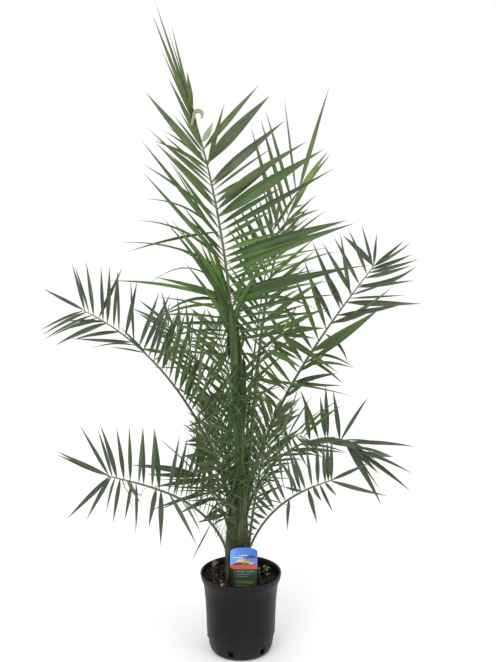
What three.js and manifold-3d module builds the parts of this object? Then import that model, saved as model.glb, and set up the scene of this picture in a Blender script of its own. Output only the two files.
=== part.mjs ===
// Potted young date palm: nursery pot, potting mix, plant label, fibrous stem,
// a column of upright leaf stalks, and eighteen feather fronds.
// Millimetres, +Z up. The origin is the centre of the pot's flat underside.
import * as THREE from 'three';
import { mergeVertices } from 'three/addons/utils/BufferGeometryUtils.js';
import Module from 'manifold-3d';

const wasm = await Module();
wasm.setup();

// ---------------------------------------------------------------- sizes
const GAP = 0.4;                 // clearance between neighbouring pieces

const POT_HEIGHT = 205;          // floor to the top of the rim
const POT_RIM_R = 100;           // outer radius of the rolled rim
const POT_BASE_R = 70;           // radius of the flat underside
const POT_WALL = 3;              // wall thickness
const POT_FLOOR = 6;             // thickness of the pot's floor
const POT_SIDES = 48;            // facets round the pot

const SOIL_Z = 184;              // level of the potting mix
const SOIL_CLEAR = 0.6;          // gap between the mix and the wall

const LABEL_WIDTH = 66;          // picture panel of the plant label
const LABEL_FOOT_WIDTH = 57;     // narrower panel under it
const LABEL_TOP_Z = 289;
const LABEL_STEP_Z = 234;        // where the wide panel ends
const LABEL_THICK = 1.6;
const LABEL_X = 7.6;             // centre of the wide panel
const LABEL_Y = -50;             // in front of the stem

// stem and stalk column: height, radius
const STEM_BELLY = [[184, -4], [240, -8], [300, -9], [345, -8], [380, -4], [410, -1], [440, 0]];   // height, shift in x
const STEM = [[SOIL_Z + GAP, 41], [200, 37], [235, 34.5], [300, 32], [350, 29], [375, 27]];
const COLUMN = [[375 + GAP, 24.5], [415, 20], [450, 17.5], [500, 15], [560, 13.5], [640, 12.5], [700, 11.5]];
const CORE_SIDES = 18;

const STALK_FOOT_R = 5.2;        // leaf stalk radius at its foot
const STALK_TIP_R = 2.0;         // and at the frond's tip
const STALK_SIDES = 6;
const STALK_STEP = 62;           // length of one stalk segment
const BLADE_STEP = 58;           // length of one blade segment
const BLADE_THICK = 3.0;         // blade thickness along the rib
const BLADE_EDGE = 1.8;          // and at the leaflet tips

// Fronds. foot: where the stalk rises; bearing, rise and roll: polynomials in
// degrees along the length (0 to 1); plus and minus: the two rows of leaflets,
// as rows of [place along the frond, angle to the rib, lift out of the plane,
// length]; tip: the end leaflet as [angle, lift, length].
const FRONDS = {
  frond_01: { foot: [0,-4,238], bearing: [174.1,3.1,8.3], rise: [89.5,1.3,-17.3,-0.7], roll: [85.5,-3.1], length: 1108,
    plus: [[0.4,94,10,200],[0.45,90,9,285],[0.57,84,13,313],[0.71,71,14,315],[0.84,63,13,271],[0.91,47,12,186],[1.0,22,12,110]],
    minus: [[0.39,84,12,150],[0.46,80,9,280],[0.57,72,7,300],[0.7,66,11,269],[0.82,44,15,212],[0.93,37,18,178],[1.0,24,20,107]], tip: [-2,21,243] },
  frond_02: { foot: [-20,18,240], bearing: [29.9,1.8,4.1], rise: [75.6,33.2,-16.0,-37.1], roll: [84.6,-0.7], length: 928,
    plus: [[0.5,66,16,170],[0.62,60,16,225],[0.76,52,17,245],[0.89,42,18,249],[0.96,42,20,239],[1.0,40,20,223]],
    minus: [[0.5,66,14,150],[0.64,62,14,185],[0.78,60,14,190],[0.88,59,14,180],[0.96,48,29,193],[1.0,27,21,141]], tip: [13,16,250] },
  frond_03: { foot: [7,-3,220], bearing: [181.4,-5.2,-1.8], rise: [82.8,-29.0,-20.9,-8.0], roll: [30.3,4.8], length: 775,
    plus: [[0.66,72,18,120],[0.72,73,17,160],[0.77,72,17,172],[0.83,65,14,155],[0.91,62,16,146],[0.97,56,17,139],[1.0,50,16,123]],
    minus: [[0.75,60,20,100],[0.79,55,20,110],[0.87,56,14,138],[0.92,66,6,161],[1.0,67,13,153]], tip: [4,15,114] },
  frond_04: { foot: [-3,8,220], bearing: [17.1,9.2,4.7], rise: [89.5,-58.2,-9.8,23.8], roll: [-34.7,-3.5], length: 834,
    plus: [[0.52,62,16,110],[0.6,50,16,140],[0.7,36,18,177],[0.78,49,14,124],[0.84,56,6,187],[0.95,48,11,137],[1.0,40,14,105]],
    minus: [[0.5,72,16,110],[0.57,70,15,135],[0.67,66,14,154],[0.76,59,14,153],[0.87,64,17,183],[0.97,57,15,136],[1.0,32,15,83]], tip: [19,16,113] },
  frond_05: { foot: [-13,-4,183], bearing: [249.3,-19.4,-5.8], rise: [68.2,-65.9,4.0,17.9], roll: [56.5,8.6], length: 646,
    plus: [[0.36,84,20,85],[0.48,86,20,112],[0.56,86,20,122],[0.68,86,23,129],[0.8,70,23,132],[0.94,50,29,147],[1.0,36,26,147]],
    minus: [[0.56,86,26,60],[0.62,84,27,120],[0.7,74,23,159],[0.79,58,14,148],[0.89,59,23,132],[0.97,53,18,167],[1.0,43,8,167]], tip: [9,27,153] },
  frond_06: { foot: [-3,-3,181], bearing: [-61.1,8.3,2.0], rise: [71.2,-54.4,-8.7,19.1], roll: [-67.4,-2.0], length: 531,
    plus: [[0.42,84,20,60],[0.56,78,20,88],[0.7,69,21,109],[0.85,48,26,131],[0.94,41,31,137],[1.0,36,36,117]],
    minus: [[0.2,100,26,40],[0.34,108,28,62],[0.47,109,28,73],[0.59,99,24,89],[0.79,88,26,103],[0.93,62,29,108],[1.0,55,36,108]], tip: [21,10,206] },
  frond_07: { foot: [-9,2,205], bearing: [38.7,-13.2,-5.7], rise: [89.5,-62.3,-73.3,-5.0], roll: [-17.7,-0.1], length: 567,
    plus: [[0.42,76,22,80],[0.56,70,24,115],[0.7,62,28,138],[0.81,48,33,145],[0.97,55,24,184],[1.0,50,24,150]],
    minus: [[0.36,76,22,80],[0.5,78,22,110],[0.67,74,24,125],[0.82,79,27,178],[0.93,44,30,222],[1.0,34,26,170]], tip: [-8,6,190] },
  frond_08: { foot: [-9,-7,249], bearing: [243.7,-1.7,-6.4], rise: [89.4,27.0,-100.6,-33.1], roll: [68.4,13.1], length: 757,
    plus: [[0.5,75,18,70],[0.65,70,18,84],[0.8,65,19,79],[0.87,67,24,91],[1.0,34,23,114]],
    minus: [[0.5,70,15,90],[0.64,66,15,130],[0.75,61,15,154],[0.84,64,12,159],[0.95,53,14,100],[1.0,52,15,63]], tip: [0,0,100] },
  frond_09: { foot: [3,-9,248], bearing: [-24.0,3.2,0.8], rise: [85.5,37.1,-49.4,-31.4], roll: [-32.8,-2.8], length: 594,
    plus: [[0.45,80,10,90],[0.6,80,5,120],[0.75,78,0,140],[0.87,78,-6,163],[0.97,57,-8,221],[1.0,38,-4,159]],
    minus: [[0.45,80,10,90],[0.6,85,8,110],[0.75,95,5,115],[0.87,114,0,119],[0.97,102,-8,128],[1.0,105,2,112]], tip: [0,10,127] },
  frond_10: { foot: [1,-8,202], bearing: [210.4,-4.0,-2.1], rise: [79.2,-13.4,-19.9,3.5], roll: [40.4,11.6], length: 307,
    plus: [[0.4,70,10,70],[0.52,60,5,105],[0.67,45,1,131],[0.81,43,9,139],[0.95,39,12,148],[1.0,41,15,148]],
    minus: [[0.4,70,8,80],[0.59,64,2,150],[0.74,64,-5,172],[0.85,60,-4,172],[0.97,42,-7,192],[1.0,36,-10,192]], tip: [-2,-2,160] },
  frond_11: { foot: [1,-12,206], bearing: [215.9,5.9,5.1], rise: [89.5,-39.6,-6.0,21.0], roll: [78.2,0.8], length: 474,
    plus: [[0.42,80,18,60],[0.6,80,18,85],[0.73,81,19,89],[0.84,70,22,95],[0.96,56,25,92],[1.0,49,24,92]],
    minus: [[0.42,75,18,100],[0.53,68,17,162],[0.69,52,14,163],[0.8,54,22,145],[0.92,60,27,106],[1.0,60,27,106]], tip: [-14,26,84] },
  frond_12: { foot: [0,-5,213], bearing: [-44.9,-0.2,0.7], rise: [89.5,4.5,-81.0,-13.4], roll: [-55.5,-5.8], length: 488,
    plus: [[0.45,82,12,80],[0.64,82,8,126],[0.74,80,9,135],[0.84,66,5,135],[0.95,36,10,114],[1.0,24,12,74]],
    minus: [[0.45,75,15,70],[0.6,70,16,85],[0.72,65,18,92],[0.83,54,12,129],[0.97,42,13,143],[1.0,44,14,143]], tip: [8,0,115] },
  frond_13: { foot: [4,16,250], bearing: [66,6,4], rise: [88,-14,-26,-4], roll: [-14,-4], length: 830,
    plus: [[0.46,75,18,110],[0.56,72,18,146],[0.68,69,18,190],[0.81,58,18,169],[0.96,42,18,152],[1.0,37,18,140]],
    minus: [[0.46,69,14,110],[0.56,66,14,146],[0.68,63,14,190],[0.81,52,14,169],[0.96,36,14,152],[1.0,31,14,140]], tip: [4,4,150] },
  frond_14: { foot: [-12,8,235], bearing: [122,6,2], rise: [88,-24,-40,-4], roll: [14,6], length: 650,
    plus: [[0.44,75,18,80],[0.54,72,18,105],[0.66,69,18,135],[0.8,58,18,127],[0.96,42,18,120],[1.0,37,18,115]],
    minus: [[0.44,69,14,80],[0.54,66,14,105],[0.66,63,14,135],[0.8,52,14,127],[0.96,36,14,120],[1.0,31,14,115]], tip: [4,4,130] },
  frond_15: { foot: [4,16,225], bearing: [98,4,2], rise: [84,-34,-36,0], roll: [4,4], length: 660,
    plus: [[0.4,75,18,80],[0.51,72,18,107],[0.64,69,18,140],[0.79,58,18,132],[0.96,42,18,125],[1.0,37,18,120]],
    minus: [[0.4,69,14,80],[0.51,66,14,107],[0.64,63,14,140],[0.79,52,14,132],[0.96,36,14,125],[1.0,31,14,120]], tip: [4,4,130] },
  frond_16: { foot: [-6,16,190], bearing: [97,4,2], rise: [74,-46,-30,8], roll: [2,2], length: 520,
    plus: [[0.36,75,18,65],[0.47,72,18,92],[0.62,69,18,125],[0.78,58,18,119],[0.95,42,18,114],[1.0,37,18,110]],
    minus: [[0.36,69,14,65],[0.47,66,14,92],[0.62,63,14,125],[0.78,52,14,119],[0.95,36,14,114],[1.0,31,14,110]], tip: [4,4,130] },
  frond_17: { foot: [12,12,185], bearing: [74,4,4], rise: [72,-46,-28,8], roll: [-8,-6], length: 500,
    plus: [[0.36,75,18,65],[0.47,72,18,92],[0.62,69,18,125],[0.78,58,18,119],[0.95,42,18,114],[1.0,37,18,110]],
    minus: [[0.36,69,14,65],[0.47,66,14,92],[0.62,63,14,125],[0.78,52,14,119],[0.95,36,14,114],[1.0,31,14,110]], tip: [4,4,130] },
  frond_18: { foot: [-14,6,190], bearing: [112,-2,-2], rise: [84,-30,-40,0], roll: [12,4], length: 380,
    plus: [[0.36,75,18,60],[0.47,72,18,85],[0.62,69,18,115],[0.78,58,18,109],[0.95,42,18,104],[1.0,37,18,100]],
    minus: [[0.36,69,14,60],[0.47,66,14,85],[0.62,63,14,115],[0.78,52,14,109],[0.95,36,14,104],[1.0,31,14,100]], tip: [4,4,130] },
};
// where the one blade is split in two, at its bend
const SPLIT = { frond_01: 0.72, frond_07: 0.8 };
// cutting order: a later blade gives way to an earlier one where they cross
const ORDER = ['frond_01', 'frond_04', 'frond_03', 'frond_05', 'frond_06', 'frond_07', 'frond_02',
  'frond_08', 'frond_13', 'frond_14', 'frond_15', 'frond_09', 'frond_12', 'frond_16', 'frond_17', 'frond_11', 'frond_10', 'frond_18'];

// ---------------------------------------------------------------- materials
const finish = (color, roughness) => new THREE.MeshStandardMaterial({ color, roughness, metalness: 0 });
const potBlack = () => finish(0x242427, 0.55);
const mixBrown = () => finish(0x2b221b, 0.95);
const fibreBrown = () => finish(0x4a3a28, 0.9);
const stalkGreen = () => finish(0x4d6b2f, 0.6);
const leafGreen = () => finish(0x41602f, 0.55);
const labelBlue = () => finish(0x3f6cc0, 0.35);

// ---------------------------------------------------------------- solids
const rad = THREE.MathUtils.degToRad;
const poly = (c, t) => c.reduce((s, k, i) => s + k * t ** i, 0);
const lerp = THREE.MathUtils.lerp;

function table(rows, x, column = 1) {          // linear look-up in rows sorted by their first number
  if (x <= rows[0][0]) return rows[0][column];
  for (let i = 1; i < rows.length; i++) {
    if (x <= rows[i][0]) {
      const u = (x - rows[i - 1][0]) / (rows[i][0] - rows[i - 1][0]);
      return lerp(rows[i - 1][column], rows[i][column], u);
    }
  }
  return rows[rows.length - 1][column];
}

// closed skin over a run of rings with equal counts of points; backslash lists
// the sides whose quads are split the other way, so both faces of a sheet match
function loft(rings, backslash = []) {
  const m = rings[0].length, pos = [], idx = [];
  for (const ring of rings) for (const p of ring) pos.push(p.x, p.y, p.z);
  for (let i = 0; i + 1 < rings.length; i++) {
    for (let j = 0; j < m; j++) {
      const a = i * m + j, b = i * m + (j + 1) % m, c = a + m, d = b + m;
      if (backslash.includes(j)) idx.push(a, b, c, b, d, c); else idx.push(a, b, d, a, d, c);
    }
  }
  const cap = (start, flip) => {
    // a strip across the ring, which also suits a bent, thin ring
    for (let j = 0; j < m / 2 - 1; j++) {
      const a = start + j, b = start + j + 1, c = start + m - 1 - j, d = start + m - 2 - j;
      if (flip) idx.push(a, b, c, b, d, c); else idx.push(a, c, b, b, c, d);
    }
  };
  cap(0, false);
  cap((rings.length - 1) * m, true);
  const g = new THREE.BufferGeometry();
  g.setAttribute('position', new THREE.Float32BufferAttribute(pos, 3));
  g.setIndex(idx);
  return g;
}

function toSolid(geometry) {
  let g = geometry.clone();
  g.deleteAttribute('normal'); g.deleteAttribute('uv');
  g = mergeVertices(g, 1e-4);
  const vertProperties = new Float32Array(g.attributes.position.array);
  const triVerts = new Uint32Array(g.index.array);
  let solid = new wasm.Manifold(new wasm.Mesh({ numProp: 3, vertProperties, triVerts }));
  if (solid.volume() < 0) {                    // rings that ran the other way round
    for (let i = 0; i < triVerts.length; i += 3) [triVerts[i], triVerts[i + 1]] = [triVerts[i + 1], triVerts[i]];
    solid = new wasm.Manifold(new wasm.Mesh({ numProp: 3, vertProperties, triVerts }));
  }
  return solid;
}

function toGeometry(solid) {
  const mesh = solid.getMesh();
  const g = new THREE.BufferGeometry();
  g.setAttribute('position', new THREE.Float32BufferAttribute(mesh.vertProperties, 3));
  g.setIndex(new THREE.Uint32BufferAttribute(mesh.triVerts, 1));
  g.computeVertexNormals();
  return g;
}

function largest(solid) {
  const bits = solid.decompose();
  return bits.reduce((a, b) => (b.volume() > a.volume() ? b : a));
}

// ---------------------------------------------------------------- frond shape
function axes(f, t) {
  const a = rad(poly(f.bearing, t)), e = rad(poly(f.rise, t)), r = rad(poly(f.roll, t));
  const T = new THREE.Vector3(Math.cos(a) * Math.cos(e), Math.sin(a) * Math.cos(e), Math.sin(e));
  const N0 = new THREE.Vector3(-Math.cos(a) * Math.sin(e), -Math.sin(a) * Math.sin(e), Math.cos(e));
  const B0 = new THREE.Vector3(Math.sin(a), -Math.cos(a), 0);
  const B = B0.clone().multiplyScalar(Math.cos(r)).addScaledVector(N0, Math.sin(r));
  const N = N0.clone().multiplyScalar(Math.cos(r)).addScaledVector(B0, -Math.sin(r));
  return { T, N, B };
}

const STEPS = 60;
function centreline(f) {
  const P = [new THREE.Vector3(...f.foot)];
  let last = axes(f, 0).T;
  for (let i = 1; i <= STEPS; i++) {
    const T = axes(f, i / STEPS).T;
    P.push(P[i - 1].clone().addScaledVector(last.clone().add(T), 0.5 * f.length / STEPS));
    last = T;
  }
  return P;
}
function along(P, t) {
  const x = Math.min(Math.max(t, 0), 1) * STEPS, i = Math.min(Math.floor(x), STEPS - 1);
  return P[i].clone().lerp(P[i + 1], x - i);
}
const lines = Object.fromEntries(Object.entries(FRONDS).map(([k, f]) => [k, centreline(f)]));
const stalkRadius = t => lerp(STALK_FOOT_R, STALK_TIP_R, t);

// the stem and the stalk column follow the tallest frond; the stem bellies out to one side
function coreCentre(z) {
  const P = lines.frond_01, f = P[0], side = table(STEM_BELLY, z);
  if (z <= f.z) return new THREE.Vector3(f.x + side, f.y, z);
  for (let i = 1; i < P.length; i++) {
    if (P[i].z >= z) {
      const u = (z - P[i - 1].z) / (P[i].z - P[i - 1].z), c = P[i - 1].clone().lerp(P[i], u).setZ(z);
      c.x += side;
      return c;
    }
  }
  return P[P.length - 1].clone();
}
const coreTop = COLUMN[COLUMN.length - 1][0];
function core(rows, grow) {
  const rings = rows.map(([z, r], i) => {
    const c = coreCentre(z);
    const end = i === 0 ? -grow : i === rows.length - 1 ? grow : 0;
    return Array.from({ length: CORE_SIDES }, (_, j) => {
      const a = 2 * Math.PI * j / CORE_SIDES;
      return new THREE.Vector3(c.x + (r + grow) * Math.cos(a), c.y + (r + grow) * Math.sin(a), z + end);
    });
  });
  return loft(rings);
}

// the place along a frond where its stalk comes clear of the column
function leave(name) {
  const f = FRONDS[name], P = lines[name];
  for (let t = 0; t < 0.95; t += 0.005) {
    const p = along(P, t);
    if (p.z > coreTop + GAP + 2) return t;
    const c = coreCentre(p.z);
    const r = p.z < 375 ? table(STEM, p.z) : table(COLUMN, p.z);
    if (Math.hypot(p.x - c.x, p.y - c.y) > r + stalkRadius(t) + 1.5) return t;
  }
  return 0.95;
}

function stalk(name, t0, t1, grow) {
  const f = FRONDS[name], P = lines[name];
  const n = Math.max(3, Math.ceil((t1 - t0) * f.length / STALK_STEP));
  const rings = [];
  for (let i = 0; i <= n; i++) {
    const t = lerp(t0, t1, i / n), { T, N, B } = axes(f, t), r = stalkRadius(t) + grow;
    const c = along(P, t).addScaledVector(T, i === 0 ? -grow : i === n ? grow : 0);
    rings.push(Array.from({ length: STALK_SIDES }, (_, j) => {
      const a = 2 * Math.PI * j / STALK_SIDES;
      return c.clone().addScaledVector(N, -r * Math.cos(a)).addScaledVector(B, r * Math.sin(a));
    }));
  }
  return loft(rings);
}

function leafletTip(f, P, t, side, row, narrow) {
  const { T, N, B } = axes(f, t);
  const angle = rad(table(row, t, 1)), lift = rad(table(row, t, 2)), len = table(row, t, 3) * narrow;
  return along(P, t)
    .addScaledVector(T, len * Math.cos(angle))
    .addScaledVector(B, side * len * Math.sin(angle) * Math.cos(lift))
    .addScaledVector(N, len * Math.sin(angle) * Math.sin(lift));
}

// thin blade: a shallow trough from leaflet tips to rib to leaflet tips
function blade(name, t0, t1, grow) {
  const f = FRONDS[name], P = lines[name];
  const n = Math.max(3, Math.ceil((t1 - t0) * f.length / BLADE_STEP));
  const rings = [];
  for (let i = 0; i <= n; i++) {
    const t = lerp(t0, t1, i / n), { T, N, B } = axes(f, t);
    const c = along(P, t), L = leafletTip(f, P, t, 1, f.plus, 1), R = leafletTip(f, P, t, -1, f.minus, 1);
    const end = i === 0 ? -grow : (i === n && t1 < 1) ? grow : 0;
    for (const p of [c, L, R]) p.addScaledVector(T, end);
    const out = (p, g) => p.clone().add(p.clone().sub(c).normalize().multiplyScalar(g));
    const hc = BLADE_THICK / 2 + grow, he = BLADE_EDGE / 2 + grow;
    const Lo = out(L, grow), Ro = out(R, grow);
    rings.push([
      Lo.clone().addScaledVector(N, he), c.clone().addScaledVector(N, hc), Ro.clone().addScaledVector(N, he),
      Ro.clone().addScaledVector(N, -he), c.clone().addScaledVector(N, -hc), Lo.clone().addScaledVector(N, -he),
    ]);
  }
  if (t1 >= 1) {                               // the end leaflet
    const { T, N, B } = axes(f, 1), [angle, lift, len] = f.tip, w = 3 + grow, h = BLADE_EDGE / 2 + grow;
    const end = along(P, 1).addScaledVector(T, (len + grow) * Math.cos(rad(angle)))
      .addScaledVector(B, len * Math.sin(rad(angle)) * Math.cos(rad(lift)))
      .addScaledVector(N, len * Math.abs(Math.sin(rad(angle))) * Math.sin(rad(lift)));
    const at = (b, s) => end.clone().addScaledVector(B, b).addScaledVector(N, s * h);
    rings.push([at(w, 1), at(0, 1), at(-w, 1), at(-w, -1), at(0, -1), at(w, -1)]);
  }
  return loft(rings, [1, 4]);
}

// ---------------------------------------------------------------- assembly
const tree = new THREE.Group();
function put(name, geometry, material) {
  const mesh = new THREE.Mesh(geometry, material);
  mesh.name = name;
  tree.add(mesh);
  return mesh;
}
function turned(points, sides) {
  const g = new THREE.LatheGeometry(points.map(p => new THREE.Vector2(...p)), sides);
  g.rotateX(Math.PI / 2);
  return toGeometry(toSolid(g));
}

// pot: flat underside, stepped foot, slightly flaring wall and a rolled rim
const potOuter = [
  [0, 0], [POT_BASE_R, 0], [74.8, 5], [78, 13], [80.6, 26], [82.3, 42], [84.6, 46], [86, 100], [87.8, 130], [90, 155],
  [92.6, 178], [97.3, 186], [POT_RIM_R, 194], [POT_RIM_R, POT_HEIGHT - 3], [POT_RIM_R - 2, POT_HEIGHT],
];
const potInner = [
  [96, POT_HEIGHT], [94.4, POT_HEIGHT - 3], [92.4, 190], [90, 178], [87, 155], [83, 100], [79, 36], [74.6, 12], [70, POT_FLOOR], [0, POT_FLOOR],
];
put('pot', turned([...potOuter, ...potInner], POT_SIDES), potBlack());

// potting mix, filling the pot to just under the rim
const soilWall = [[70 - SOIL_CLEAR * 2, POT_FLOOR + SOIL_CLEAR], [74.6 - SOIL_CLEAR * 2, 12 + SOIL_CLEAR], [79 - SOIL_CLEAR * 2, 36],
  [83 - SOIL_CLEAR * 2, 100], [87 - SOIL_CLEAR * 2, 155], [90 - SOIL_CLEAR * 2, SOIL_Z - 6]];
put('potting_mix', turned([[0, POT_FLOOR + SOIL_CLEAR], ...soilWall, [86, SOIL_Z - 2], [60, SOIL_Z], [0, SOIL_Z]], 36), mixBrown());

// label: arched picture panel over a narrower foot, standing in the mix
function label(grow) {
  const w = LABEL_WIDTH / 2 + grow, fw = LABEL_FOOT_WIDTH / 2 + grow, off = (LABEL_WIDTH - LABEL_FOOT_WIDTH) / 2 - 1.5;
  const top = LABEL_TOP_Z + grow, foot = SOIL_Z + GAP - grow;
  const s = new THREE.Shape();
  s.moveTo(off - fw, foot);
  s.lineTo(off + fw, foot);
  s.lineTo(off + fw, LABEL_STEP_Z - grow);
  s.lineTo(w, LABEL_STEP_Z + 2 - grow);
  s.lineTo(w, top - 12);
  s.bezierCurveTo(w - 2, top - 5, w * 0.6, top, 0, top);
  s.bezierCurveTo(-w * 0.6, top, -w + 2, top - 5, -w, top - 12);
  s.lineTo(-w, LABEL_STEP_Z + 2 - grow);
  s.lineTo(off - fw, LABEL_STEP_Z - grow);
  s.closePath();
  const g = new THREE.ExtrudeGeometry(s, { depth: LABEL_THICK + 2 * grow, bevelEnabled: false, curveSegments: 6 });
  g.rotateX(Math.PI / 2);
  g.translate(LABEL_X, LABEL_Y + grow, 0);
  return toSolid(g);
}
put('plant_label', toGeometry(label(0)), labelBlue());

put('stem', toGeometry(toSolid(core(STEM, 0))), fibreBrown());
put('stalk_column', toGeometry(toSolid(core(COLUMN, 0))), stalkGreen());

// Stalks and blades, cut round what stands before them.
const placed = [label(GAP), toSolid(core(STEM, GAP)), toSolid(core(COLUMN, GAP))];
function boxesMeet(a, b) {
  const p = a.boundingBox(), q = b.boundingBox();
  return [0, 1, 2].every(i => p.min[i] <= q.max[i] && q.min[i] <= p.max[i]);
}
function cutRound(solid) {
  for (const other of placed) if (boxesMeet(solid, other)) solid = solid.subtract(other);
  return largest(solid);
}
const parts = [];
for (const name of ORDER) {
  const f = FRONDS[name];
  const start = leave(name), first = Math.max(Math.min(f.plus[0][0], f.minus[0][0]), start + 0.06);
  parts.push({ name, start, first });
}
for (const p of parts) {
  const end = p.first - (GAP + 0.3) / FRONDS[p.name].length;
  const s = cutRound(toSolid(stalk(p.name, p.start, end, 0)));
  put(`${p.name}_stalk`, toGeometry(s), stalkGreen());
  placed.push(toSolid(stalk(p.name, p.start, end, GAP)));
}
for (const p of parts) {
  const cuts = SPLIT[p.name] ? [p.first, SPLIT[p.name], 1] : [p.first, 1];
  for (let i = 0; i + 1 < cuts.length; i++) {
    const a = cuts[i] + (i ? (GAP + 0.3) / FRONDS[p.name].length : 0), b = cuts[i + 1];
    const own = cutRound(toSolid(blade(p.name, a, b, 0)));
    const label = cuts.length > 2 ? `${p.name}_blade_${'ab'[i]}` : `${p.name}_blade`;
    put(label, toGeometry(own), leafGreen());
    placed.push(toSolid(blade(p.name, a, b, GAP)));
  }
}

export default tree;
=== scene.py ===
import math
import random

import bpy
import numpy as np
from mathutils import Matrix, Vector, noise


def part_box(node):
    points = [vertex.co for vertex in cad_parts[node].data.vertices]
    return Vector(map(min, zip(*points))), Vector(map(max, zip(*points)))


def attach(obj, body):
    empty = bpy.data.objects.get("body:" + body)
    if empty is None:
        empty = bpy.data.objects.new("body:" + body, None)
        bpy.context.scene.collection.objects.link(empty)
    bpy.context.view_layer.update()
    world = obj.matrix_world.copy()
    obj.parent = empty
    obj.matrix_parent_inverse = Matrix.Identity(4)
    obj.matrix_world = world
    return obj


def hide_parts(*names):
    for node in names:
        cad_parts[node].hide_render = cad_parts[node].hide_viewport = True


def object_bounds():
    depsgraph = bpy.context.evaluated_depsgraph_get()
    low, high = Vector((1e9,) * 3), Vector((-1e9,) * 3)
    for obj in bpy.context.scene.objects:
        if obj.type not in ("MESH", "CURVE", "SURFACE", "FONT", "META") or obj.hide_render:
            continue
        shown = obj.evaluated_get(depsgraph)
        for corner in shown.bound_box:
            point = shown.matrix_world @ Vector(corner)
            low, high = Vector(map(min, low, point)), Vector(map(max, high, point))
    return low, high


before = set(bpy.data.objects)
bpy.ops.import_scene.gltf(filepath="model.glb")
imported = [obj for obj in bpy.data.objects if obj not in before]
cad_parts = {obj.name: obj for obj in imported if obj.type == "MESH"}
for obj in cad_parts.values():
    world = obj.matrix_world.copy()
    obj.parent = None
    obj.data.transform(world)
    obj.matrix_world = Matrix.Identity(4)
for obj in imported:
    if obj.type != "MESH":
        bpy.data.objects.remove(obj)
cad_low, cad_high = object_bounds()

MM = 0.001
rnd = random.Random(20240611)

pot_low, pot_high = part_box("pot")
mix_low, mix_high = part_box("potting_mix")
label_low, label_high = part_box("plant_label")
RIM_R = (pot_high[0] - pot_low[0]) / 2          # rim radius, m
POT_TOP = pot_high[2]
SOIL_Z = mix_high[2]

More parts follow.
